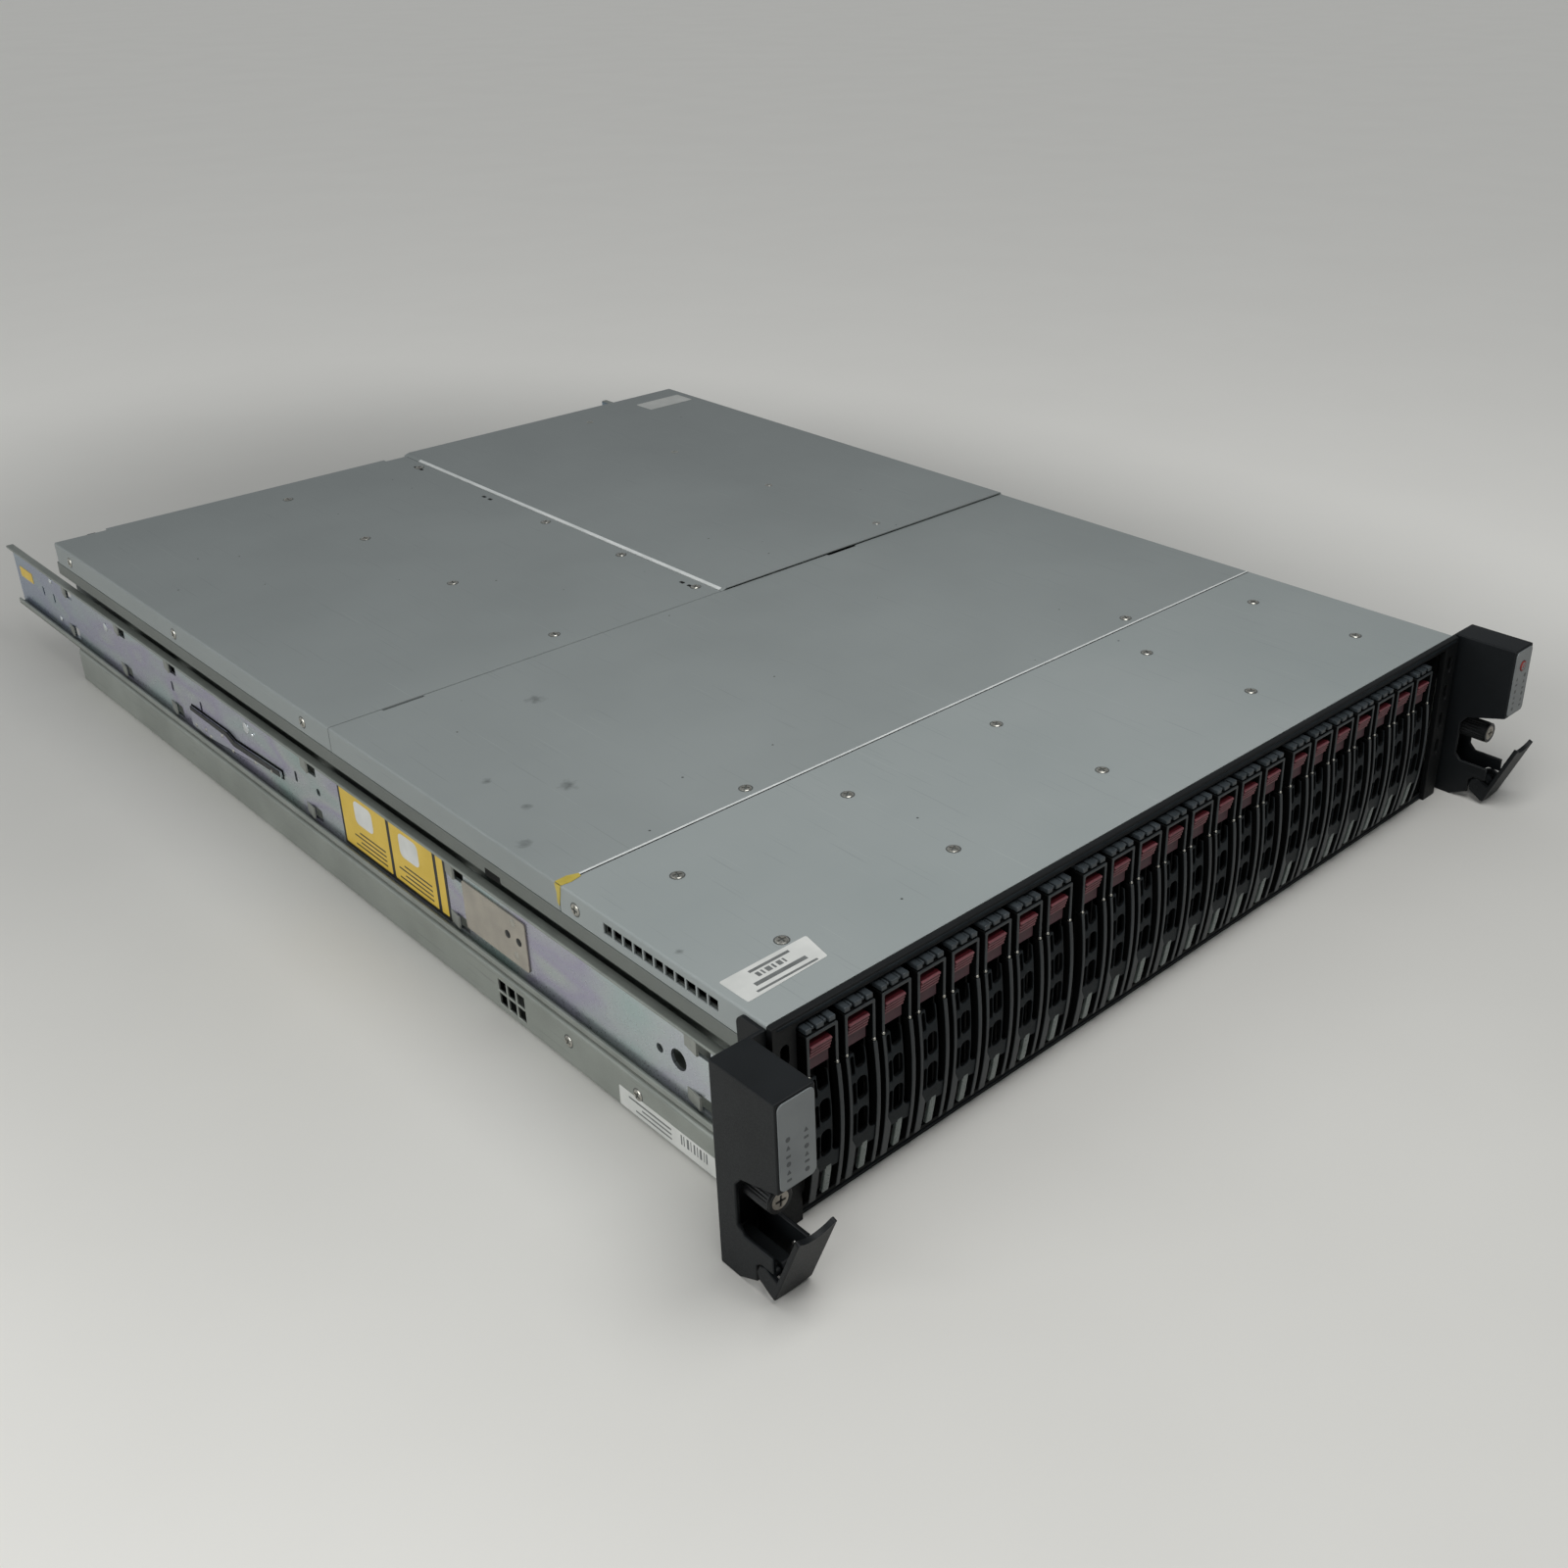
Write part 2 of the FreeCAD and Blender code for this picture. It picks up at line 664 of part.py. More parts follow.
def carrier_lever():
    """Swinging front of a carrier: bowed ribs joined by a plate with windows, on two pins."""
    right = carrier_width - LEVER_RIB
    plate_foot = lever_foot + LEVER_PLATE_RISE
    plate_top = lever_top - WINDOW_BAR
    plate_face = bow(plate_foot) + LEVER_PLATE_SET
    plate_back = plate_face + LEVER_PLATE
    pitch = (plate_top - plate_foot - WINDOW_BAR) / WINDOW_COUNT
    left_edge = LEVER_RIB + WINDOW_MARGIN
    right_edge = right - WINDOW_MARGIN
    windows = []
    for i in range(WINDOW_COUNT):
        low = plate_foot + WINDOW_BAR + i * pitch
        high = low + pitch - WINDOW_BAR
        corners = [
            (left_edge + WINDOW_CORNER, low), (right_edge - WINDOW_CORNER, low),
            (right_edge, low + WINDOW_CORNER), (right_edge, high - WINDOW_CORNER),
            (right_edge - WINDOW_CORNER, high), (left_edge + WINDOW_CORNER, high),
            (left_edge, high - WINDOW_CORNER), (left_edge, low + WINDOW_CORNER),
        ]
        windows.append(prism("y", corners, plate_face, plate_back))
    plate = box(LEVER_RIB, right, plate_face, plate_back, plate_foot, plate_top)
    heel_y = LEVER_PIVOT_Y + heel_radius
    outline = lever_outline([(heel_y, LEVER_PIVOT_Z + heel_radius), (heel_y, lever_foot, heel_radius)])
    pieces = [prism("x", outline, 0, LEVER_RIB),
              prism("x", outline, right, carrier_width),
              cut(plate, windows)]
    for x in (LEVER_RIB, right - LEVER_PIN_LENGTH):
        pieces.append(rod("x", (x, LEVER_PIVOT_Y, LEVER_PIVOT_Z),
                          LEVER_PIN_RADIUS, LEVER_PIN_LENGTH))
    return fuse(pieces)


def release_tab():
    """Coloured thumb tab of a carrier: ridges leaning out over a plain foot, under a recess."""
    y = TAB_FACE + TAB_STEPS * TAB_STEP_RUN
    z = tab_foot + TAB_FOOT_HEIGHT
    outline = [(y, tab_foot)]
    for step in range(TAB_STEPS):
        outline += [(y, z), (y - TAB_STEP_RUN, z)]
        y = y - TAB_STEP_RUN
        z = z + TAB_STEP_RISE
    recess = y + TAB_RECESS
    back = recess + TAB_THICKNESS
    outline += [(y, z), (recess, z), (recess, tab_top), (back, tab_top), (back, tab_foot)]
    side = PILLAR_WIDTH + PLAY
    return prism("x", outline, side, carrier_width - side)


def carrier_frame():
    """Runners, web and pillars: what every carrier's tray is made of."""
    web_back = WEB_FRONT + WEB_SHEET
    end = socket_face - RUNNER_END
    section = [
        (WEB_FRONT, carrier_foot), (end, carrier_foot), (end, carrier_foot + RUNNER_LOW),
        (web_back, carrier_foot + RUNNER_LOW), (web_back, drive_top + DRIVE_PLAY),
        (end, drive_top + DRIVE_PLAY), (end, carrier_top), (WEB_FRONT, carrier_top),
    ]
    pieces = [prism("x", section, RUNNER_INSET, carrier_width - RUNNER_INSET)]
    for x in (0, carrier_width - PILLAR_WIDTH):
        pieces.append(box(x, x + PILLAR_WIDTH, TAB_FACE, WEB_FRONT, pillar_foot, clip_foot))
    return pieces


def jointed_tray():
    """Tray of the carrier whose lever swings: segmented clip, airway, light block, pin sockets."""
    segment = carrier_width / CLIP_SEGMENTS
    clip = [(0, clip_foot), (carrier_width, clip_foot)]
    for i in range(CLIP_SEGMENTS):
        z = carrier_top - CLIP_NOTCH * (i % 2)
        clip += [(carrier_width - i * segment, z), (carrier_width - (i + 1) * segment, z)]
    block_side = LEVER_RIB + PLAY
    block_top = carrier_foot + LIGHT_BLOCK_HEIGHT
    block = box(block_side, carrier_width - block_side, LIGHT_BLOCK_FACE, WEB_FRONT,
                carrier_foot, block_top)
    tools = [box(2 * PILLAR_WIDTH, carrier_width - 2 * PILLAR_WIDTH,
                 WEB_FRONT, WEB_FRONT + WEB_SHEET, block_top, pillar_foot)]
    reach = LEVER_PIN_RADIUS + PIVOT_GAP
    for x in (block_side, carrier_width - block_side - LEVER_PIN_LENGTH):
        tools.append(box(x, x + LEVER_PIN_LENGTH, LEVER_PIVOT_Y - reach, LEVER_PIVOT_Y + reach,
                         LEVER_PIVOT_Z - reach, LEVER_PIVOT_Z + reach))
    return cut(fuse(carrier_frame() + [block, prism("y", clip, CLIP_FACE, WEB_FRONT)]), tools)


def plain_tray():
    """Tray of a repeated carrier, with a plain clip and its closed lever fixed to its web."""
    clip = box(0, carrier_width, CLIP_FACE, WEB_FRONT, clip_foot, carrier_top)
    heel = [(WEB_FRONT, LEVER_PIVOT_Z + heel_radius), (WEB_FRONT, lever_foot)]
    closed_lever = prism("x", lever_outline(heel), 0, carrier_width)
    return fuse(carrier_frame() + [clip, closed_lever])


def drive():
    side = (carrier_width - DRIVE_THICKNESS) / 2
    end = socket_face - DRIVE_PLAY
    return box(side, side + DRIVE_THICKNESS, end - DRIVE_LENGTH, end, drive_foot, drive_top)


def save_carriers():
    """The first carrier's lever and tab are pieces of their own. The others stay whole."""
    jointed = {"drive_carrier": [jointed_tray(), drive()],
               "carrier_lever": [carrier_lever()],
               "carrier_release": [release_tab()]}
    whole = {"drive_carrier": [plain_tray(), drive(), release_tab()]}
    for bay in range(BAY_COUNT):
        if bay == EMPTY_BAY:
            continue
        for name, solids in (whole if bay else jointed).items():
            placed = [solid.translated(V(bay_x(bay), 0, 0)) for solid in solids]
            save("%s_%02d" % (name, bay + 1), placed)


def button_bore(depth):
    """Round pocket for the power button, from the face of its panel inwards."""
    return rod("y", (ear_mid, -EAR_REACH - OVERLAY_SHEET, button_z), BUTTON_RADIUS + PLAY, depth)


def ear(has_button):
    """Right-hand rack ear: flange, side tabs, control box, notched cheeks, hinge lug and pin."""
    slope = (BOX_FRONT_FOOT - BOX_REAR_FOOT) / (EAR_REACH - GRIP_BACK)
    notch = FLAP_BOSS_RADIUS + HINGE_NOTCH_GAP
    cheek_front = HINGE_Y - FLAP_STANDOFF + HINGE_NOTCH_GAP
    outline = [
        (EAR_FLANGE, 0),
        (EAR_FLANGE, ear_top),
        (-EAR_REACH, ear_top),
        (-EAR_REACH, BOX_FRONT_FOOT),
        (-GRIP_BACK - EAR_CORNER, BOX_REAR_FOOT + slope * EAR_CORNER),
        (-GRIP_BACK, BOX_REAR_FOOT - EAR_CORNER),
        (-GRIP_BACK, GRIP_FLOOR + EAR_CORNER),
        (-GRIP_BACK - EAR_CORNER, GRIP_FLOOR),
        (cheek_front, GRIP_FLOOR),
        (cheek_front, HINGE_Z + notch),
        (HINGE_Y + notch - HINGE_CHAMFER, HINGE_Z + notch),
        (HINGE_Y + notch, HINGE_Z + notch - HINGE_CHAMFER),
        (HINGE_Y + notch, HINGE_Z - notch),
        (-GRIP_BACK, 0),
    ]
    beyond = EAR_REACH + EAR_CORNER
    hollow = [
        (0, -EAR_CORNER),
        (-beyond, -EAR_CORNER),
        (-beyond, BOX_FRONT_FOOT + slope * EAR_CORNER),
        (-GRIP_BACK, BOX_REAR_FOOT),
        (0, BOX_REAR_FOOT),
    ]
    upper_tab = [(EAR_FLANGE, ear_top - UPPER_TAB_HEIGHT), (TAB_REACH, ear_top - UPPER_TAB_HEIGHT),
                 (TAB_REACH, ear_top, TAB_ROUND), (EAR_FLANGE, ear_top)]
    tab_out = half_width + TAB_SHEET
    lug_x = ear_mid - HINGE_LUG_WIDTH / 2
    lug_front = HINGE_Y - HINGE_LUG_RADIUS
    lug_foot = HINGE_Z - HINGE_LUG_RADIUS
    lug_top = HINGE_Z + HINGE_LUG_RADIUS
    lug = [(0, lug_foot), (0, lug_top),
           (lug_front + HINGE_CHAMFER, lug_top), (lug_front, lug_top - HINGE_CHAMFER),
           (lug_front, lug_foot + HINGE_CHAMFER), (lug_front + HINGE_CHAMFER, lug_foot)]
    body = fuse([
        cut(prism("x", outline, ear_in, ear_out),
            [prism("x", hollow, ear_in + EAR_CHEEK, ear_out - EAR_CHEEK)]),
        rod("x", (ear_in, HINGE_Y, HINGE_Z), HINGE_PIN_RADIUS, EAR_WIDTH),
        prism("x", lug, lug_x, lug_x + HINGE_LUG_WIDTH),
        box(half_width, ear_in, 0, EAR_FLANGE, 0, ear_top),
        prism("x", upper_tab, half_width, tab_out),
        box(half_width, tab_out, EAR_FLANGE, TAB_REACH,
            BEND_RADIUS, BEND_RADIUS + LOWER_TAB_HEIGHT),
    ])
    tools = [rod("y", (rack_hole_x, 0, rack_hole_z), SCREW_RADIUS + SCREW_HOLE_GAP, EAR_FLANGE)]
    if has_button:
        tools.append(button_bore(OVERLAY_SHEET + BUTTON_LENGTH + BUTTON_TRAVEL))
    return cut(body, tools)


def power_button():
    face = -EAR_REACH - OVERLAY_SHEET - BUTTON_PROUD
    return rod("y", (ear_mid, face, button_z), BUTTON_RADIUS, BUTTON_LENGTH)


def control_overlay():
    """Thin panel with cut corners on the front of an ear's control box."""
    low_x = ear_in + OVERLAY_MARGIN
    high_x = ear_out - OVERLAY_MARGIN
    low_z = BOX_FRONT_FOOT + OVERLAY_MARGIN
    high_z = ear_top - OVERLAY_MARGIN
    corners = [
        (low_x + OVERLAY_CORNER, low_z), (high_x - OVERLAY_CORNER, low_z),
        (high_x, low_z + OVERLAY_CORNER), (high_x, high_z - OVERLAY_CORNER),
        (high_x - OVERLAY_CORNER, high_z), (low_x + OVERLAY_CORNER, high_z),
        (low_x, high_z - OVERLAY_CORNER), (low_x, low_z + OVERLAY_CORNER),
    ]
    return prism("y", corners, -EAR_REACH - OVERLAY_SHEET, -EAR_REACH)


def latch_flap():
    """Ear latch: a scooped plate with a bored cheek at each side, standing part open."""
    back = HINGE_Y - FLAP_STANDOFF
    face = back - FLAP_SHEET
    foot = HINGE_Z - FLAP_FOOT_DROP
    top = HINGE_Z + FLAP_TOP_RISE
    front = [(ear_in, top), (ear_in, foot), (ear_in + FLAP_BELLY_RUN, foot - FLAP_BELLY),
             (ear_out - FLAP_BELLY_RUN, foot - FLAP_BELLY), (ear_out, foot), (ear_out, top)]
    scoop_z = top + math.sqrt(SCOOP_RADIUS ** 2 - SCOOP_HALF_WIDTH ** 2)
    scoop = rod("y", (ear_mid, face, scoop_z), SCOOP_RADIUS, FLAP_SHEET)
    boss_back = HINGE_Y + FLAP_BOSS_RADIUS
    boss_top = HINGE_Z + FLAP_BOSS_RADIUS
    boss_foot = HINGE_Z - FLAP_BOSS_RADIUS
    side = [(face, foot), (face, boss_top),
            (boss_back - HINGE_CHAMFER, boss_top), (boss_back, boss_top - HINGE_CHAMFER),
            (boss_back, boss_foot + HINGE_CHAMFER), (boss_back - HINGE_CHAMFER, boss_foot),
            (back, foot)]
    pieces = [cut(prism("y", front, face, back), [scoop])]
    for x in (ear_in, ear_out - EAR_CHEEK):
        pieces.append(prism("x", side, x, x + EAR_CHEEK))
    bore = rod("x", (ear_in, HINGE_Y, HINGE_Z), HINGE_PIN_RADIUS + PIVOT_GAP, EAR_WIDTH)
    flap = cut(fuse(pieces), [bore])
    flap.rotate(V(0, HINGE_Y, HINGE_Z), V(1, 0, 0), FLAP_OPEN_DEG)
    return flap


def thumbscrew():
    """Captive screw: a flat-sided grip, a neck through the ear's flange and a thicker end."""
    knob = prism("y", polygon(rack_hole_x, rack_hole_z, KNOB_RADIUS, KNOB_FLATS),
                 KNOB_FACE, KNOB_BACK)
    shoulder = EAR_FLANGE + PLAY
    neck = rod("y", (rack_hole_x, KNOB_BACK, rack_hole_z), SCREW_NECK_RADIUS, shoulder - KNOB_BACK)
    end = rod("y", (rack_hole_x, shoulder, rack_hole_z), SCREW_RADIUS, SCREW_REACH - shoulder)
    return fuse([knob, neck, end])


def inner_rail():
    """Right-hand slide rail: a shallow channel section with lanced windows and a rivet."""
    low = rail_z - RAIL_HEIGHT / 2
    high = rail_z + RAIL_HEIGHT / 2
    section = [
        (rail_back, low), (rail_edge, low), (rail_edge, low + RAIL_SHEET),
        (rail_face, low + RAIL_SHEET), (rail_face, high - RAIL_SHEET),
        (rail_edge, high - RAIL_SHEET), (rail_edge, high), (rail_back, high),
    ]
    tools = [rod("x", (rail_back, RAIL_HOLE_Y, rail_z), RAIL_HOLE_RADIUS, RAIL_SHEET)]
    for y in RAIL_LANCES:
        for z in (rail_z - LANCE_SPACING / 2, rail_z + LANCE_SPACING / 2):
            tools.append(box(rail_back, rail_face, y - LANCE_LENGTH / 2, y + LANCE_LENGTH / 2,
                             z - LANCE_HEIGHT / 2, z + LANCE_HEIGHT / 2))
    rivet = rod("x", (rail_face, RAIL_LATCH_Y, rail_z - RAIL_LATCH_DROP),
                RAIL_LATCH_RIVET, RAIL_LATCH_SHEET + PLAY)
    rail = prism("y", section, RAIL_FRONT, CHASSIS_DEPTH + RAIL_OVERHANG)
    return fuse([cut(rail, tools), rivet])


def stop_plate():
    reach = STOP_PLATE_HEIGHT / 2
    return box(rail_face, rail_face + STOP_PLATE_SHEET, STOP_PLATE_Y,
               STOP_PLATE_Y + STOP_PLATE_LENGTH, rail_z - reach, rail_z + reach)


def rail_latch():
    """Sprung release lever of a rail, tapering forward from its rivet."""
    y = RAIL_LATCH_Y
    z = rail_z - RAIL_LATCH_DROP
    tip = y - RAIL_LATCH_LENGTH
    outline = [
        (y + RAIL_LATCH_HEEL, z - RAIL_LATCH_HEEL),
        (y + RAIL_LATCH_HEEL, z + RAIL_LATCH_HEEL),
        (tip, z + RAIL_LATCH_LIFT + RAIL_LATCH_TIP),
        (tip, z + RAIL_LATCH_LIFT),
        (y - 2 * RAIL_LATCH_HEEL, z - RAIL_LATCH_HEEL),
    ]
    low = rail_face + PLAY
    blade = prism("x", outline, low, low + RAIL_LATCH_SHEET)
    return cut(blade, [rod("x", (low, y, z), RAIL_LATCH_RIVET + PIVOT_GAP, RAIL_LATCH_SHEET)])


def port_x(i):
    """Left side of a port, counted from the outer end of a canister's rear panel."""
    return canister_right - PORT_INSET - PORT_WIDTH - i * PORT_PITCH


def canister_tray():
    """Node tray: floor, side walls, and a rear panel with slots, ports and lever lugs."""
    floor_top = module_foot + TRAY_SHEET
    wall_top = module_top - TRAY_WALL_DROP
    section = [
        (canister_left, module_foot), (canister_right, module_foot),
        (canister_right, wall_top), (canister_right - TRAY_SHEET, wall_top),
        (canister_right - TRAY_SHEET, floor_top), (canister_left + TRAY_SHEET, floor_top),
        (canister_left + TRAY_SHEET, wall_top), (canister_left, wall_top),
    ]
    lever_z = module_top - ARM_DROP
    lug_x = canister_right - ARM_INSET
    lug_low = lever_z - PLAY - LUG_SHEET
    lug_high = lever_z + ARM_HEIGHT + PLAY
    pieces = [
        prism("y", section, canister_front, panel_face),
        box(canister_left, canister_right, panel_face, CHASSIS_DEPTH, module_foot, module_top),
        rod("z", (lug_x, CHASSIS_DEPTH + AXLE_OFFSET, lug_low), AXLE_RADIUS, lug_high - lug_low),
    ]
    for z in (lug_low, lug_high):
        pieces.append(box(lug_x - LUG_WIDTH / 2, lug_x + LUG_WIDTH / 2, CHASSIS_DEPTH,
                          CHASSIS_DEPTH + LUG_REACH, z, z + LUG_SHEET))
    for x in (canister_left + STANDOFF_INSET, canister_right - STANDOFF_INSET - STANDOFF_SIZE):
        for y in (board_front + STANDOFF_INSET, board_end - STANDOFF_INSET - STANDOFF_SIZE):
            pieces.append(box(x, x + STANDOFF_SIZE, y, y + STANDOFF_SIZE, floor_top, board_foot))
    tools = []
    for i in range(EXHAUST_SLOTS):
        z = fan_z + (i - (EXHAUST_SLOTS - 1) / 2) * EXHAUST_PITCH
        tools.append(box(fan_x - EXHAUST_WIDTH / 2, fan_x + EXHAUST_WIDTH / 2,
                         panel_face, CHASSIS_DEPTH, z - EXHAUST_SLOT / 2, z + EXHAUST_SLOT / 2))
    for i in range(PORT_COUNT):
        x = port_x(i)
        tools.append(box(x - PLAY, x + PORT_WIDTH + PLAY, panel_face, CHASSIS_DEPTH,
                         board_top - PLAY, board_top + PORT_HEIGHT + PLAY))
    return cut(fuse(pieces), tools)


def fan_frame():
    """Square fan housing with a bored strut that carries the rotor."""
    reach = fan_size / 2
    body = box(fan_x - reach, fan_x + reach, fan_front, panel_face, fan_z - reach, fan_z + reach)
    throat = polygon(fan_x, fan_z, fan_bore, FAN_BORE_FLATS)
    ring = cut(body, [prism("y", throat, fan_front, panel_face)])
    strut = box(fan_x - reach, fan_x + reach, fan_front, fan_front + FAN_STRUT,
                fan_z - FAN_STRUT_HEIGHT / 2, fan_z + FAN_STRUT_HEIGHT / 2)
    bore = rod("y", (fan_x, fan_front, fan_z), FAN_SHAFT_RADIUS + PIVOT_GAP, FAN_STRUT)
    return cut(fuse([ring, strut]), [bore])


def fan_rotor():
    """Hub with two flats for each pitched blade, on a shaft."""
    hub_front = fan_front + FAN_STRUT + FAN_HUB_GAP
    hub = prism("y", polygon(fan_x, fan_z, FAN_HUB_RADIUS, 2 * FAN_BLADES),
                hub_front, hub_front + FAN_HUB_LENGTH)
    shaft_length = FAN_HUB_GAP + FAN_SHAFT_LENGTH
    shaft = rod("y", (fan_x, hub_front - shaft_length, fan_z), FAN_SHAFT_RADIUS, shaft_length)
    blades = []
    for i in range(FAN_BLADES):
        blade = box(-BLADE_CHORD / 2, BLADE_CHORD / 2, -BLADE_THICKNESS / 2, BLADE_THICKNESS / 2,
                    FAN_HUB_RADIUS - BLADE_THICKNESS, fan_bore - FAN_TIP_GAP)
        blade.rotate(V(0, 0, 0), V(0, 0, 1), 90 - BLADE_PITCH_DEG)
        blade.rotate(V(0, 0, 0), V(0, 1, 0), 360.0 * i / FAN_BLADES)
        blade.translate(V(fan_x, hub_front + FAN_HUB_LENGTH / 2, fan_z))
        blades.append(blade)
    return fuse([hub, shaft] + blades)


def cooler():
    """Finned cooler standing on the board."""
    front = board_front + COOLER_FRONT
    left = canister_mid - COOLER_WIDTH / 2
    top = board_top + COOLER_HEIGHT
    root = board_top + COOLER_BASE
    pitch = (COOLER_WIDTH - COOLER_FIN) / (COOLER_FINS - 1)
    comb = []
    for i in range(COOLER_FINS):
        x = left + i * pitch
        comb += [(x, root), (x, top), (x + COOLER_FIN, top), (x + COOLER_FIN, root)]
    corners = [(left + COOLER_WIDTH, board_top), (left, board_top)] + comb[1:-1]
    return prism("y", corners, front, front + COOLER_LENGTH)


def port_shell(i):
    """Open-ended shell of one rear port."""
    x = port_x(i)
    shell = box(x, x + PORT_WIDTH, port_front, CHASSIS_DEPTH, board_top, board_top + PORT_HEIGHT)
    pocket = box(x + PORT_WALL, x + PORT_WIDTH - PORT_WALL, port_front + PORT_WALL, CHASSIS_DEPTH,
                 board_top + PORT_WALL, board_top + PORT_HEIGHT - PORT_WALL)
    return cut(shell, [pocket])


def canister_board():
    """Node mainboard with a cooler, memory modules and the rear ports."""
    edge = canister_right - BOARD_MARGIN
    notch = port_x(PORT_COUNT - 1)
    outline = [
        (canister_left + BOARD_MARGIN, board_front), (edge, board_front),
        (edge, port_front + PORT_DEPTH / 2), (notch, port_front + PORT_DEPTH / 2),
        (notch, board_end), (canister_left + BOARD_MARGIN, board_end),
    ]
    solids = [prism("z", outline, board_foot, board_top)]
    solids += [port_shell(i) for i in range(PORT_COUNT)]
    solids.append(cooler())
    memory_front = board_front + COOLER_FRONT + (COOLER_LENGTH - MEMORY_LENGTH) / 2
    for side in (-1, 1):
        for i in range(MEMORY_PER_SIDE):
            x = canister_mid + side * (COOLER_WIDTH / 2 + (i + 1) * MEMORY_PITCH)
            solids.append(box(x - MEMORY_THICKNESS / 2, x + MEMORY_THICKNESS / 2, memory_front,
                              memory_front + MEMORY_LENGTH, board_top, board_top + MEMORY_HEIGHT))
    return solids


def canister_lever():
    """Ejector lever lying along the rear panel, turning on the axle between its lugs."""
    x = canister_right - ARM_INSET
    y = CHASSIS_DEPTH + AXLE_OFFSET
    z = module_top - ARM_DROP
    arm = box(x - ARM_LENGTH, x + ARM_HEEL, y - ARM_SHEET / 2, y + ARM_SHEET / 2, z, z + ARM_HEIGHT)
    return cut(arm, [rod("z", (x, y, z), AXLE_RADIUS + PIVOT_GAP, ARM_HEIGHT)])


def psu_case():
    """Sheet case of a power supply, open at its plug end."""
    back = CHASSIS_DEPTH - PSU_SHEET
    inlet_left = psu_mid - INLET_WIDTH / 2
    inlet_low = module_foot + INLET_BASE
    tools = [
        box(psu_left + PSU_SHEET, psu_right - PSU_SHEET, psu_front, back,
            module_foot + PSU_SHEET, module_top - PSU_SHEET),
        box(inlet_left, inlet_left + INLET_WIDTH, back, CHASSIS_DEPTH,
            inlet_low, inlet_low + INLET_HEIGHT),
    ]
    slot_low = handle_low + (HANDLE_SPAN - PSU_SLOT_HEIGHT) / 2
    for i in range(PSU_SLOT_COUNT):
        x = psu_left + PSU_SLOT_INSET + i * PSU_SLOT_PITCH
        tools.append(box(x, x + PSU_SLOT_WIDTH, back, CHASSIS_DEPTH,
                         slot_low, slot_low + PSU_SLOT_HEIGHT))
    case = box(psu_left, psu_right, psu_front, CHASSIS_DEPTH, module_foot, module_top)
    return cut(case, tools)


def mains_inlet():
    """Socket with three pins, set flush in the back of a power supply."""
    left = psu_mid - INLET_WIDTH / 2
    low = module_foot + INLET_BASE
    floor = CHASSIS_DEPTH - INLET_POCKET
    body = box(left, left + INLET_WIDTH, CHASSIS_DEPTH - INLET_DEPTH, CHASSIS_DEPTH,
               low, low + INLET_HEIGHT)
    pocket = box(left + INLET_WALL, left + INLET_WIDTH - INLET_WALL, floor, CHASSIS_DEPTH,
                 low + INLET_WALL, low + INLET_HEIGHT - INLET_WALL)
    pins = []
    for i in (-1, 0, 1):
        x = psu_mid + i * INLET_PIN_PITCH - INLET_PIN / 2
        z = low + INLET_HEIGHT / 2 - INLET_PIN
        pins.append(box(x, x + INLET_PIN, floor, floor + INLET_PIN_LENGTH, z, z + 2 * INLET_PIN))
    return fuse([cut(body, [pocket])] + pins)


def psu_handle():
    """Pull handle: a flat loop standing out of the back of a power supply."""
    high = handle_low + HANDLE_SPAN
    reach = CHASSIS_DEPTH + HANDLE_REACH
    outline = [
        (CHASSIS_DEPTH, handle_low), (reach, handle_low), (reach, high), (CHASSIS_DEPTH, high),
        (CHASSIS_DEPTH, high - HANDLE_BAR), (reach - HANDLE_BAR, high - HANDLE_BAR),
        (reach - HANDLE_BAR, handle_low + HANDLE_BAR), (CHASSIS_DEPTH, handle_low + HANDLE_BAR),
    ]
    return prism("x", outline, psu_mid - HANDLE_BAR / 2, psu_mid + HANDLE_BAR / 2)


def psu_latch():
    """Release latch, squeezed towards the handle."""
    x = psu_mid + LATCH_OFFSET
    y = CHASSIS_DEPTH + PLAY
    z = handle_low + (HANDLE_SPAN - LATCH_HEIGHT) / 2
    return box(x, x + LATCH_WIDTH, y, y + LATCH_REACH, z, z + LATCH_HEIGHT)


os.makedirs("parts", exist_ok=True)

save("chassis_base", [chassis_base()])
save("front_top_cover", [front_lid()])
save("middle_top_cover", [middle_lid()])
save("rear_top_cover_left", [rear_lid_left()])
save("rear_top_cover_right", [rear_lid_right()])
save("bay_partitions", partitions())
save("front_frame", [front_frame()])
save("drive_cage", drive_cage())
save("midplane_board", midplane())
save_carriers()

save("rack_ear_left", [mirrored(ear(False))])
save("rack_ear_right", [ear(True)])
overlay = control_overlay()
save("control_overlays", [mirrored(overlay), cut(overlay, [button_bore(OVERLAY_SHEET)])])
save("power_button", [power_button()])
save_pair("latch_flap", [latch_flap()])
save_pair("thumbscrew", [thumbscrew()])

save_pair("inner_rail", [inner_rail()])
save_pair("rail_stop_plate", [stop_plate()])
save_pair("rail_latch", [rail_latch()])

save_pair("canister_tray", [canister_tray(), fan_frame()])
save_pair("canister_board", canister_board())
save_pair("canister_lever", [canister_lever()])
save_pair("fan_rotor", [fan_rotor()])
save_pair("power_supply", [psu_case(), mains_inlet(), psu_handle()])
save_pair("power_supply_latch", [psu_latch()])
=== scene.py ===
# %% [markdown]
# A two-unit rack server with a row of small drives in front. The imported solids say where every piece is
# and how large it is. This lesson loads them as a fixed frame, rounds the folded sheet, builds the moulded
# fronts of the drives, adds the small hardware, and gives each surface the finish that the real one has.

# %% Load the frame
import math

import bmesh
import bpy
from mathutils import Matrix, Vector


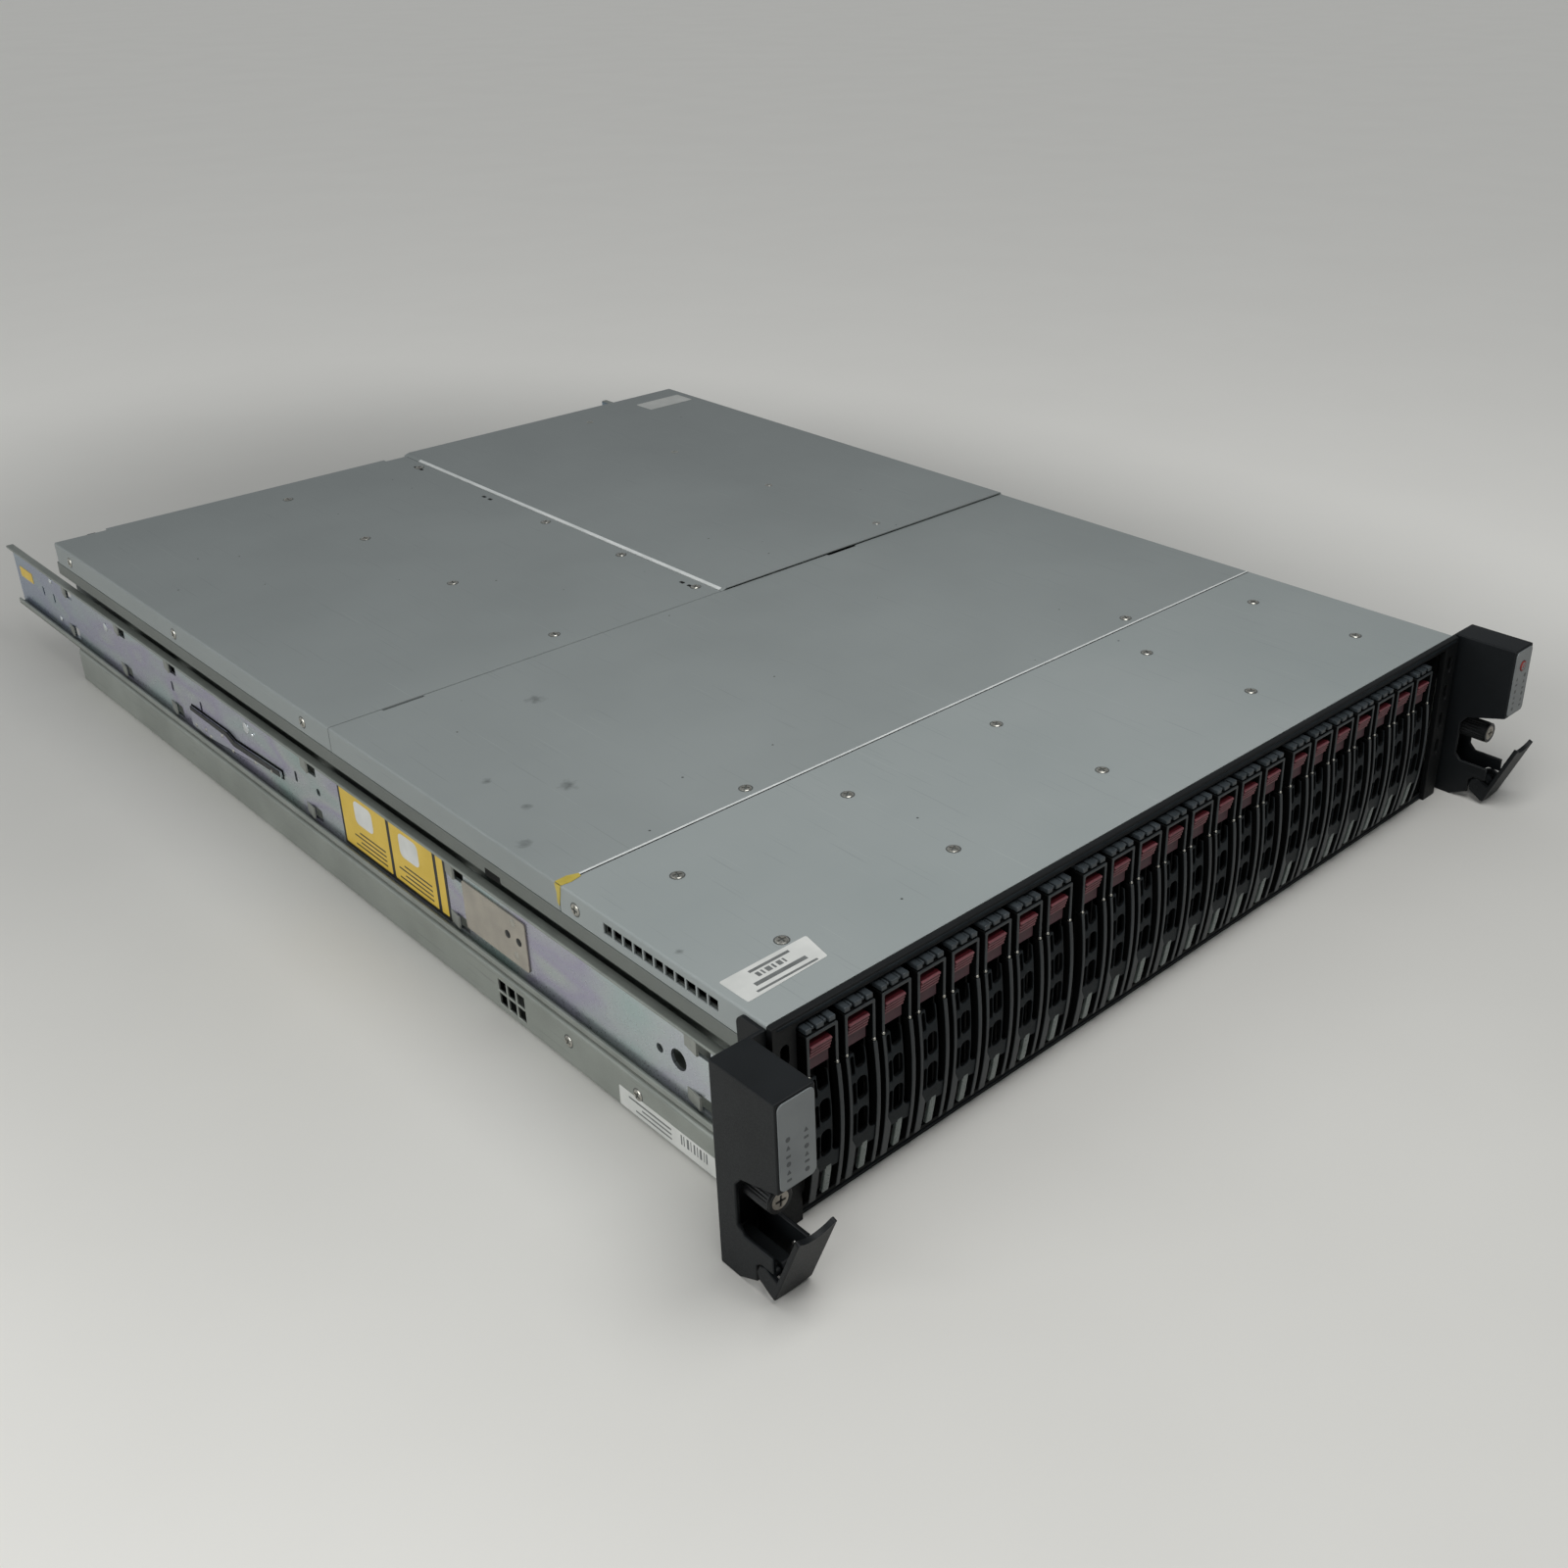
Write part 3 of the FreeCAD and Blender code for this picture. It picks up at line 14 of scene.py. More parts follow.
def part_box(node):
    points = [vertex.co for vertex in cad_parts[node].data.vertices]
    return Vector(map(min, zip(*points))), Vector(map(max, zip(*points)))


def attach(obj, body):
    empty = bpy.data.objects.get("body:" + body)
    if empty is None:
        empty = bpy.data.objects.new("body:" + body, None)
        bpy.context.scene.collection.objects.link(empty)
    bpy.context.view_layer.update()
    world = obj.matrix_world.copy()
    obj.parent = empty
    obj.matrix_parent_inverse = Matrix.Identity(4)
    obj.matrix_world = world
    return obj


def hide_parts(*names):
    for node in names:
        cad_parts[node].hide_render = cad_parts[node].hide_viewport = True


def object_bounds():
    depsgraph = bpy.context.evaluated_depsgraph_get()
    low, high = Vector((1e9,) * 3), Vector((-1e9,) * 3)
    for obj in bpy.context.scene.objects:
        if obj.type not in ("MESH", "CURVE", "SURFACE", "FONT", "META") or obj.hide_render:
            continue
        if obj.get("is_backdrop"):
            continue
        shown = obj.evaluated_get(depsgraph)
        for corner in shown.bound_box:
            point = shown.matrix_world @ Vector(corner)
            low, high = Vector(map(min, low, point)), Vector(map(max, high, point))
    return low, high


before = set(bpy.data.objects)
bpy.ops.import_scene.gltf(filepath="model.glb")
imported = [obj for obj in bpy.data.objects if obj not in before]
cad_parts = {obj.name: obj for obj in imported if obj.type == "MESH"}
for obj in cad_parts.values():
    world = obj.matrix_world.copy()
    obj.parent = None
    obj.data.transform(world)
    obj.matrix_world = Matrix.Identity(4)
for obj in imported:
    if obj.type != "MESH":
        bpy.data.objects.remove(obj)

cad_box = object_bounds()

# %% [markdown]
# The frame is in metres with its origin under the middle of the chassis. Small hardware is easier to draw
# in millimetres from the front edge of the lid, so every new mesh is drawn that way: x to the right, y to
# the rear, z up from the underside. One matrix takes a finished mesh to its place in the frame.

# %% Drawing millimetres
MM = 0.001
to_frame = Matrix.Translation((0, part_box("front_top_cover")[0].y, 0)) @ Matrix.Scale(MM, 4)
to_drawing = to_frame.inverted()


def drawn_box(node):
    """A node's lowest and highest corner in drawing millimetres."""
    low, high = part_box(node)
    return to_drawing @ low, to_drawing @ high


chassis_low, chassis_high = drawn_box("chassis_base")
half_width = chassis_high.x
lid_top = drawn_box("front_top_cover")[1].z
print("chassis in mm:", [round(v, 1) for v in chassis_high - chassis_low], "lid at", round(lid_top, 1))

# %% [markdown]
# A piece is placed in the same way each time: the mesh goes to the frame, gets smooth shading with sharp
# edges kept, and rides on the body that carries it. Where it stands for a solid, that solid is hidden. Smooth
# shading would bend the light on the large faces next to a rounded edge, so the normals are weighted by area,
# which keeps flat sheet flat.

# %% Place a piece
SHARP = math.radians(35)


def place(name, mesh, body, slot, *nodes):
    """A named piece from a mesh drawn in millimetres. It rides on a body and may stand for nodes."""
    mesh.transform(to_frame)
    mesh.shade_smooth()
    mesh.set_sharp_from_angle(angle=SHARP)
    piece = bpy.data.objects.new(name, mesh)
    bpy.context.collection.objects.link(piece)
    piece.modifiers.new("flat_faces", "WEIGHTED_NORMAL").keep_sharp = True
    flattened = bpy.data.meshes.new_from_object(piece.evaluated_get(bpy.context.evaluated_depsgraph_get()))
    piece.modifiers.clear()
    piece.data = flattened
    bpy.data.meshes.remove(mesh)
    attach(piece, body)
    if nodes:
        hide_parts(*nodes)
    return piece


def finished(shape):
    """The mesh of a bmesh, closed and facing outwards."""
    bmesh.ops.recalc_face_normals(shape, faces=shape.faces)
    mesh = bpy.data.meshes.new("shape")
    shape.to_mesh(mesh)
    shape.free()
    return mesh


def joined(*parts):
    """One mesh of several (mesh, material) parts, where each part keeps its own material."""
    whole = bmesh.new()
    materials = []
    for mesh, material in parts:
        if material not in materials:
            materials.append(material)
        start = len(whole.faces)
        whole.from_mesh(mesh)
        whole.faces.ensure_lookup_table()
        for face in whole.faces[start:]:
            face.material_index = materials.index(material)
        bpy.data.meshes.remove(mesh)
    mesh = bpy.data.meshes.new("joined")
    whole.to_mesh(mesh)
    whole.free()
    for material in materials:
        mesh.materials.append(material)
    return mesh


# %% [markdown]
# Most of the hardware is plates: an outline with holes, pushed along one axis, with its rims rolled over.
# A flat curve with a bevel gives that without a single stray face. An outline is a short list of corners,
# each with a radius, and the corners are drawn as arcs.

# %% Outlines and plates
TURNS = {
    "x": Matrix(((0, 0, 1, 0), (1, 0, 0, 0), (0, 1, 0, 0), (0, 0, 0, 1))),
    "y": Matrix(((1, 0, 0, 0), (0, 0, -1, 0), (0, 1, 0, 0), (0, 0, 0, 1))),
    "z": Matrix.Identity(4),
}


def arcs(corners, steps=4):
    """The points of an outline whose corners are (u, v, radius), each one drawn as an arc."""
    points = []
    for i, (u, v, radius) in enumerate(corners):
        corner = Vector((u, v))
        if radius == 0:
            points.append(corner)
            continue
        back = (Vector(corners[i - 1][:2]) - corner).normalized()
        on = (Vector(corners[(i + 1) % len(corners)][:2]) - corner).normalized()
        half = back.angle(on) / 2
        centre = corner + (back + on).normalized() * radius / math.sin(half)
        first = corner + back * radius / math.tan(half) - centre
        last = corner + on * radius / math.tan(half) - centre
        start = math.atan2(first.y, first.x)
        turn = (math.atan2(last.y, last.x) - start + math.pi) % math.tau - math.pi
        for step in range(steps + 1):
            angle = start + turn * step / steps
            points.append(centre + radius * Vector((math.cos(angle), math.sin(angle))))
    return points


def rounded(u0, v0, u1, v1, radius, steps=4):
    """A rectangle with round corners."""
    return arcs([(u0, v0, radius), (u1, v0, radius), (u1, v1, radius), (u0, v1, radius)], steps)


def about(u, v, half_u, half_v, radius, steps=4):
    """A rectangle with round corners about a centre. With nearly full radii it is a slot or a circle."""
    return rounded(u - half_u, v - half_v, u + half_u, v + half_v, radius, steps)


def plate(axis, outline, low, high, holes=(), edge=0.3, rounds=1):
    """A closed plate: an outline with holes, pushed along an axis from low to high, with rolled rims."""
    curve = bpy.data.curves.new("outline", "CURVE")
    curve.dimensions = "2D"
    curve.fill_mode = "BOTH"
    curve.extrude = (high - low) / 2 - edge
    curve.bevel_depth = edge
    curve.bevel_resolution = rounds
    curve.offset = -edge
    for ring in (outline, *holes):
        spline = curve.splines.new("POLY")
        spline.points.add(len(ring) - 1)
        for point, (u, v) in zip(spline.points, ring):
            point.co = (u, v, 0, 1)
        spline.use_cyclic_u = True
    drawn = bpy.data.objects.new("outline", curve)
    flat = bpy.data.meshes.new_from_object(drawn)
    shape = bmesh.new()
    shape.from_mesh(flat)
    bpy.data.objects.remove(drawn)
    bpy.data.curves.remove(curve)
    bpy.data.meshes.remove(flat)
    bmesh.ops.remove_doubles(shape, verts=shape.verts, dist=1e-4)
    middle = Vector([(low + high) / 2 if axis == name else 0 for name in "xyz"])
    shape.transform(Matrix.Translation(middle) @ TURNS[axis])
    return finished(shape)


# %% [markdown]
# The rest is blocks, which are boxes with rounded edges, and turned parts, which are skins over rings of
# points about an axis. A part of the right side is mirrored for the left.

# %% Blocks and turned parts
def block(low, high, edge=0.3, rounds=2):
    """A box with rounded edges."""
    shape = bmesh.new()
    bmesh.ops.create_cube(shape, size=1)
    low, high = Vector(low), Vector(high)
    for corner in shape.verts:
        corner.co = low + (corner.co + Vector((0.5, 0.5, 0.5))) * (high - low)
    bmesh.ops.bevel(shape, geom=shape.edges[:], offset=edge, segments=rounds, profile=0.5, affect="EDGES")
    return finished(shape)


def turned_part(axis, centre, profile, sides=24):
    """A part turned about an axis: the profile is a list of (distance along it, radius)."""
    shape = bmesh.new()
    rows = []
    for distance, radius in profile:
        middle = Vector(centre) + Vector([distance * (axis == name) for name in "xyz"])
        angles = [math.tau * i / sides for i in range(sides)]
        ring = [TURNS[axis] @ Vector((radius * math.cos(a), radius * math.sin(a), 0)) for a in angles]
        rows.append([shape.verts.new(point + middle) for point in ring])
    for row, after in zip(rows, rows[1:]):
        for i in range(sides):
            shape.faces.new((row[i - 1], row[i], after[i], after[i - 1]))
    shape.faces.new(rows[0])
    shape.faces.new(rows[-1])
    return finished(shape)


def opposite(parts):
    """The same parts for the other side of the chassis."""
    flipped = []
    for mesh, material in parts:
        copy = mesh.copy()
        copy.transform(Matrix.Scale(-1, 4, (1, 0, 0)))
        copy.flip_normals()
        flipped.append((copy, material))
    return flipped


# %% [markdown]
# The folded sheet and the moulded ears are right in the solids except for one thing: their edges are
# perfectly sharp, and no real edge is. A copy of such a mesh is merged, its flat triangles dissolved, and
# its long sharp edges are bevelled, so that each one catches a thin line of light. Where one solid holds
# parts of other materials, boxes in drawing millimetres say which faces take which finish.

# %% Soften a solid
SHORTEST_EDGE = 2.0


def zone_of(face, zones):
    """The number of the last zone that holds the whole face, or 0 for none."""
    number = 0
    for i, (low, high, _) in enumerate(zones):
        if all(low[k] <= corner.co[k] <= high[k] for corner in face.verts for k in range(3)):
            number = i + 1
    return number


def softened(node, body, material, width, slot, zones=()):
    """A copy of a node with rounded edges, which stands for it. A zone is (low, high corner, material)."""
    shape = bmesh.new()
    shape.from_mesh(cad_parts[node].data)
    shape.transform(to_drawing)
    bmesh.ops.remove_doubles(shape, verts=shape.verts, dist=1e-3)
    bmesh.ops.dissolve_limit(shape, angle_limit=math.radians(1), verts=shape.verts, edges=shape.edges)
    sharp = [edge for edge in shape.edges if len(edge.link_faces) == 2
             and edge.calc_face_angle() > SHARP and edge.calc_length() > SHORTEST_EDGE]
    bmesh.ops.bevel(shape, geom=sharp, offset=width, segments=2, profile=0.5, affect="EDGES",
                    clamp_overlap=False)
    for face in shape.faces:
        face.material_index = zone_of(face, zones)
    mesh = bpy.data.meshes.new(node)
    shape.to_mesh(mesh)
    shape.free()
    for coat in (material, *[zone[2] for zone in zones]):
        mesh.materials.append(coat)
    return place(node + "_soft", mesh, body, slot, node)


# %% [markdown]
# Finishes come next, because every shape below is given one as it is made. A colour is written as the hex
# value that a designer would read off the object, and one function turns it to the linear numbers that
# the shader works in. One more function adds a node with its settings and links, and a few short ones name
# the nodes that every finish needs.

# %% Node tools
def linear(hex_colour):
    """Linear colour and full alpha of an sRGB hex value."""
    channels = [int(hex_colour[i:i + 2], 16) / 255 for i in (1, 3, 5)]
    return [c / 12.92 if c <= 0.04045 else ((c + 0.055) / 1.055) ** 2.4 for c in channels] + [1.0]


def add(tree, kind, inputs=None, **settings):
    """A new node with its settings. Its inputs are set to a value or linked to another node's output."""
    node = tree.nodes.new(kind)
    for name, value in settings.items():
        setattr(node, name, value)
    for key, value in (inputs or {}).items():
        if isinstance(value, bpy.types.NodeSocket):
            tree.links.new(value, node.inputs[key])
        else:
            node.inputs[key].default_value = value
    return node


def here(tree):
    """The point that is being shaded, in the object's own metres."""
    return add(tree, "ShaderNodeTexCoord").outputs["Object"]


def along(tree, axis):
    """How far along an axis the shaded point is, in metres."""
    return add(tree, "ShaderNodeSeparateXYZ", {0: here(tree)}).outputs["xyz".index(axis)]


def calc(tree, operation, *values):
    """One step of arithmetic on sockets and numbers."""
    return add(tree, "ShaderNodeMath", dict(enumerate(values)), operation=operation).outputs[0]


def ranged(tree, value, start, end, low=0.0, high=1.0, **settings):
    """A value carried from one range to another and held at its ends."""
    inputs = {0: value, 1: start, 2: end, 3: low, 4: high}
    return add(tree, "ShaderNodeMapRange", inputs, **settings).outputs[0]


def per_metre(size_mm):
    """Texture scale at which one feature is about this many millimetres wide."""
    return 1 / (size_mm * MM)


def noise(tree, point, size_mm, detail):
    """A soft random field with features of about this many millimetres."""
    inputs = {"Vector": point, "Scale": per_metre(size_mm), "Detail": detail}
    return add(tree, "ShaderNodeTexNoise", inputs).outputs[0]


# %% [markdown]
# Every finish is made in one way: its colour drifts between two tones over soft patches, and a fine grain
# varies its gloss and roughens it a little. Later steps lay stains, streaks or specks over that colour.

# %% A finish
PATCH_DETAIL, GRAIN_DETAIL = 4.0, 2.0
GRAIN_DEPTH = 0.1


def base_colour(material):
    """The socket of a finish that takes its colour."""
    return material.node_tree.nodes["Principled BSDF"].inputs["Base Color"]


def finish(name, low, high, patch, grain, roughness, spread=0.06, bump=0.1, metallic=0.0, stretch=None,
           specular=0.5):
    """A finish that drifts between two tones over patches and has a fine grain. Sizes in millimetres."""
    material = bpy.data.materials.new(name)
    material.use_nodes = True
    tree = material.node_tree
    sockets = tree.nodes["Principled BSDF"].inputs
    sockets["Metallic"].default_value = metallic
    sockets["Specular IOR Level"].default_value = specular
    point = here(tree)
    if stretch:
        point = add(tree, "ShaderNodeMapping", {"Vector": point, "Scale": stretch}).outputs[0]
    drift = ranged(tree, noise(tree, point, patch, PATCH_DETAIL), 0.32, 0.68)
    tone = add(tree, "ShaderNodeMix", {0: drift, 6: linear(low), 7: linear(high)}, data_type="RGBA")
    tree.links.new(tone.outputs[2], sockets["Base Color"])
    fine = noise(tree, point, grain, GRAIN_DETAIL)
    tree.links.new(ranged(tree, fine, 0.3, 0.7, roughness - spread, roughness + spread), sockets["Roughness"])
    relief = add(tree, "ShaderNodeBump", {"Height": fine, "Strength": bump, "Distance": GRAIN_DEPTH * MM})
    tree.links.new(relief.outputs[0], sockets["Normal"])
    return material


def lay_over(material, share, colour):
    """Lay a colour over a finish, as far as a share between 0 and 1 says."""
    tree, base = material.node_tree, base_colour(material)
    mix = add(tree, "ShaderNodeMix", {0: share, 6: base.links[0].from_socket, 7: linear(colour)},
              data_type="RGBA")
    tree.links.new(mix.outputs[2], base)


# %% [markdown]
# The lids are steel under a satin grey paint. Handling leaves faint cloudy stains, hair scratches that run
# across the sheet and a few dark specks and smudges. The scratches are one noise stretched until it is all
# streaks, and the specks are the few cells of a Voronoi pattern whose random number is high.

# %% Wear
STREAK_EDGE, STREAK_SHARE = 0.06, 0.35
RAGGED = 3.0


def streaks(material, colour, cut, width_mm, length_mm, turn):
    """Lay thin streaks over a finish where a stretched noise is above a cut. The turn is in degrees."""
    tree = material.node_tree
    turned = add(tree, "ShaderNodeMapping", {"Vector": here(tree), "Rotation": (0, 0, math.radians(turn)),
                                             "Scale": (1, width_mm / length_mm, 1)}).outputs[0]
    line = noise(tree, turned, width_mm, 1.0)
    lay_over(material, ranged(tree, line, cut, cut + STREAK_EDGE, high=STREAK_SHARE), colour)


def specks(material, colour, spacing_mm, radius_share, rare):
    """Lay a few round specks over a finish."""
    tree = material.node_tree
    cells = add(tree, "ShaderNodeTexVoronoi", {"Vector": here(tree), "Scale": per_metre(spacing_mm)}).outputs
    chance = add(tree, "ShaderNodeSeparateColor", {0: cells["Color"]}).outputs[0]
    near = calc(tree, "LESS_THAN", cells["Distance"], radius_share)
    lay_over(material, calc(tree, "MULTIPLY", near, calc(tree, "GREATER_THAN", chance, rare)), colour)


def smudge(material, colour, centre, reach_mm, strength):
    """Lay one soft, ragged smudge over a finish at a place given in drawing millimetres."""
    tree = material.node_tree
    point, reach = here(tree), reach_mm * MM
    away = add(tree, "ShaderNodeVectorMath", {0: point, 1: to_frame @ Vector(centre)}, operation="DISTANCE")
    edge = calc(tree, "MULTIPLY_ADD", noise(tree, point, RAGGED, 3.0), reach, away.outputs["Value"])
    lay_over(material, ranged(tree, edge, reach, 0.3 * reach, high=strength), colour)


# %% [markdown]
# The smudges have places of their own, read off the object, with a reach each. The other lids share one
# paint, and the front one is painted a little paler, a painted highlight for the brighter light that falls on
# it.

# %% Painted and plated sheet
SMUDGES = (((-172.7, 178.1, 87), 9), ((-138.1, 254.9, 87), 9), ((-211.4, 151.4, 87), 7),
           ((-194.6, 174.9, 87), 5), ((-194.6, 204.5, 87), 5), ((-213.1, 52.6, 87), 4))


def worn_paint(name, low, high, scratch, scuff):
    """Satin grey paint on steel: a soft sheen with cloudy stains, hair scratches and specks of dirt."""
    material = finish(name, low, high, 90, 0.5, 0.45, bump=0.08, specular=0.25)
    streaks(material, scratch, cut=0.72, width_mm=0.6, length_mm=70, turn=24)
    streaks(material, scuff, cut=0.7, width_mm=0.8, length_mm=45, turn=-50)
    specks(material, "#3a3d3c", spacing_mm=9, radius_share=0.06, rare=0.93)
    for centre, reach in SMUDGES:
        smudge(material, "#2f3332", centre, reach, strength=0.75)
    return material


# The front lid's paler paint is painted light: it stands in for the brighter light on the front.
front_lit_paint = worn_paint("satin_grey_paint_lit_paler", "#8d9493", "#939998", "#a9afad", "#787e7d")
satin_paint = worn_paint("satin_grey_paint", "#858b8a", "#8b9190", "#9fa5a3", "#727877")

# Zinc-plated steel of the chassis pan: a pale satin metal, a little uneven.
plated_steel = finish("zinc_plated_steel", "#8c918b", "#9da29c", 40, 0.6, 0.42, metallic=0.6)
streaks(plated_steel, "#6d726e", cut=0.66, width_mm=0.9, length_mm=50, turn=90)
# Painted shade darkens the strip between the rail and the lid's flange, where the flange shades it.
STRIP_SHADE_FROM, STRIP_SHADE_FULL = 60, 66
height = along(plated_steel.node_tree, "z")
strip_shade = ranged(plated_steel.node_tree, height, STRIP_SHADE_FROM * MM, STRIP_SHADE_FULL * MM, high=0.75)
lay_over(plated_steel, strip_shade, "#5f6461")
# Plain sheet inside and behind: the same metal without the wear and the painted shade.
plain_sheet = finish("mill_finish_sheet", "#8f9493", "#a3a8a7", 25, 0.4, 0.38, metallic=0.75,
                     stretch=(1, 0.15, 1))
print("sheet finishes made")

# %% [markdown]
# The slide rails are zinc with a thin chromate layer, which splits the light like a film of oil: the metal
# drifts from steel blue to violet and green along the rail. A colour ramp over a long, lazy noise gives it
# and takes the place of the plain tone. The other zinc and steel of the rails is duller or rubbed bright.

# %% Rail metals
TINTS = ((0.30, "#a9bdbd"), (0.42, "#b4bcc0"), (0.52, "#aeabc0"), (0.60, "#b9bfc1"), (0.72, "#a2b7b4"))
TINT_LENGTH, TINT_STRETCH = 26, 0.35
BLUE_FROM, PALE_FROM, PALE_FULL = 0.24, -0.2, -0.32
chromate_zinc = finish("chromate_zinc_plating", "#97a2a8", "#b3bcc0", 60, 1.0, 0.3, metallic=0.85, bump=0.0,
                       spread=0.04)
tree = chromate_zinc.node_tree
lazy = add(tree, "ShaderNodeMapping", {"Vector": here(tree), "Scale": (1, TINT_STRETCH, 1)}).outputs[0]
tints = add(tree, "ShaderNodeValToRGB", {0: noise(tree, lazy, TINT_LENGTH, 2.0)})
stops = tints.color_ramp.elements
for position, colour in TINTS:
    stops.new(position).color = linear(colour)
stops.remove(stops[0])
stops.remove(stops[-1])
tree.links.new(tints.outputs[0], base_colour(chromate_zinc))
# Towards the rear end the film is bluer.
rearward = along(tree, "y")
lay_over(chromate_zinc, ranged(tree, rearward, BLUE_FROM, cad_box[1].y, high=0.7), "#8799ab")
# At the front end it turns to a pale, slightly green zinc.
lay_over(chromate_zinc, ranged(tree, rearward, PALE_FROM, PALE_FULL, high=0.8), "#cdd6d4")
# The rolled rims have lost their colour to the outer rail: dull grey zinc.
rim_zinc = finish("dull_zinc_rim", "#7f847e", "#8e938d", 15, 1.0, 0.42, metallic=0.4, bump=0.0, spread=0.02)
# Pressed dimples, in a brighter zinc.
bright_dimple_zinc = finish("bright_dimple_zinc", "#c4cacc", "#d9dddf", 15, 2.0, 0.26, metallic=0.85, bump=0.01)
# A pale steel paints the highlights along the lid seams. Bent tongues are dull and a little warmer.
highlight_steel = finish("painted_highlight_steel", "#d0d4d2", "#e0e3e1", 12, 1.0, 0.45, metallic=0.1, bump=0.0,
                   spread=0.03)
tongue_steel = finish("dull_bent_steel", "#838681", "#93968f", 6, 0.5, 0.45, metallic=0.4, bump=0.05)
print("rail finishes made")

# %% [markdown]
# Most of the front is moulded plastic with a spark-eroded grain, and the rest is powder paint. They differ
# in colour, in how coarse the grain is and in how much they shine. Grain finer than about half a millimetre
# can't show at this distance and is drawn that coarse.

# %% Plastics and paints of the front
# Black powder paint: a deep, slightly rough black. On the steel cage between the drives it is painted shade.
powder_black_and_shade = finish("black_powder_paint_and_shade", "#0b0d0e", "#111314", 30, 0.6, 0.55, bump=0.15, specular=0.2)
# Dark grey plastic with a fine satin grain on the front faces of levers and U's, painted lighter as their lit
# side.
lit_face_plastic = finish("dark_grey_plastic_lit_faces", "#1f2427", "#282e31", 12, 0.5, 0.4, bump=0.05,
                         specular=0.38)
# The grilles between the ribs have a deeper grain, and look darker.
grille_plastic = finish("coarse_dark_grey_plastic", "#12171a", "#1a2023", 8, 0.6, 0.5, bump=0.25,
                        specular=0.12)
# Black plastic of the trays, and painted shade: the levers' flanks and dark marks at the rails and seams.
black_plastic_and_shade = finish("deep_black_plastic_and_shade", "#040505", "#080909", 10, 0.5, 0.6, specular=0.12)
# Lighter moulded plastic of the clips.
clip_plastic = finish("moulded_mid_grey_plastic", "#2f3538", "#3b4145", 8, 0.5, 0.36, bump=0.05,
                      specular=0.4)
# Maroon moulded plastic of the release tabs, its ridges paler and its recess in deep shade.
maroon_plastic = finish("moulded_maroon_plastic", "#432830", "#4f3238", 9, 0.5, 0.45, bump=0.12,
                        specular=0.3)
maroon_ridge = finish("pale_maroon_plastic", "#6c3f45", "#7a494e", 7, 0.5, 0.42, specular=0.35)
maroon_recess = finish("shaded_maroon_plastic", "#5c2027", "#68272e", 6, 0.5, 0.55, specular=0.2)
# Light pipe and lamps: a smooth, frosted mid grey.
light_pipe = finish("frosted_light_pipe", "#5e6764", "#707875", 6, 0.6, 0.3, bump=0.05)
# Moulded plastic of the rack ears: nearly black, with scuffs.
ear_plastic = finish("moulded_black_plastic", "#0f1214", "#15181a", 18, 0.5, 0.5, bump=0.12, specular=0.2)
streaks(ear_plastic, "#2c3032", cut=0.72, width_mm=0.5, length_mm=14, turn=35)
# Printed film of the control panels: smooth grey, with a soft shine, and the ring of the button.
panel_film = finish("printed_grey_film", "#6b7072", "#767b7c", 15, 0.6, 0.35, bump=0.03)
panel_ink = finish("dark_grey_ink", "#3b3f41", "#44484a", 4, 0.4, 0.45, bump=0.03)
ring_red = finish("translucent_red_ring", "#8a2a26", "#a23a33", 3, 0.4, 0.3, bump=0.03)

# %% [markdown]
# Screws are steel in four states, labels are paper or vinyl with ink, and the modules behind are circuit
# board, aluminium, nickel and black plastic.

# %% Screws, labels and modules
# Bright turned steel of the screws, and the same steel blackened, which also paints the shade in the cross
# recesses.
bright_steel = finish("turned_bright_steel", "#a5a49d", "#bdbbb2", 5, 0.4, 0.3, metallic=0.9)
black_steel_and_shade = finish("black_oxide_steel_and_shade", "#131516", "#1d1f20", 4, 0.4, 0.4, metallic=0.4)
# Worn faces of the captive screws: paler and warmer.
face_steel = finish("worn_screw_face", "#a39c90", "#b4ada1", 3, 0.4, 0.4, metallic=0.25)
# Grey steel in the shade of a countersink.
shaded_steel = finish("shaded_steel", "#4b4e4c", "#5a5d5b", 4, 0.4, 0.5, metallic=0.3)
# Beige paint of the stop plates.
beige_paint = finish("satin_beige_paint", "#928d83", "#a49e92", 12, 0.5, 0.42, metallic=0.25)
# Paper and vinyl labels.
white_label = finish("white_paper_label", "#bfc1bd", "#cfd0cc", 14, 0.5, 0.55, bump=0.04)
grey_ink = finish("grey_printing_ink", "#5d605f", "#6b6e6d", 4, 0.4, 0.55, bump=0.02)
yellow_vinyl = finish("yellow_vinyl_label", "#c8a93a", "#d4b54a", 16, 0.5, 0.45, bump=0.04)
black_ink = finish("black_printing_ink", "#131414", "#1a1b1b", 4, 0.4, 0.5, bump=0.02)
yellow_tape = finish("yellow_adhesive_tape", "#ab9838", "#bfac4c", 7, 0.6, 0.4, bump=0.2)
# Inside and behind: memory modules, cooler fins, port shells, circuit board, white paint, fan plastic.
module_black = finish("black_memory_module", "#15191a", "#202526", 3, 0.5, 0.4, bump=0.2)
cooler_metal = finish("extruded_aluminium", "#a6aaac", "#b9bdbe", 10, 0.4, 0.35, metallic=0.85,
                      stretch=(1, 0.1, 1))
port_nickel = finish("nickel_port_shell", "#9a9a94", "#acaca6", 4, 0.4, 0.3, metallic=0.8)
board_green = finish("green_solder_mask", "#12452e", "#1b5a3c", 3, 0.7, 0.3, bump=0.3)
white_paint = finish("white_satin_paint", "#c2c3c1", "#d0d1cf", 12, 0.5, 0.38)
fan_plastic = finish("glass_filled_black_plastic", "#131516", "#1c1e1f", 6, 0.5, 0.4)
print("finishes made:", len(bpy.data.materials))

# %% [markdown]
# The sheet-metal body first. The lids and the pan keep the solids' own form with rounded folds. The raised
# lid is the highest thing of all, so its top is drawn a hair lower, and what lies on it fits the box.

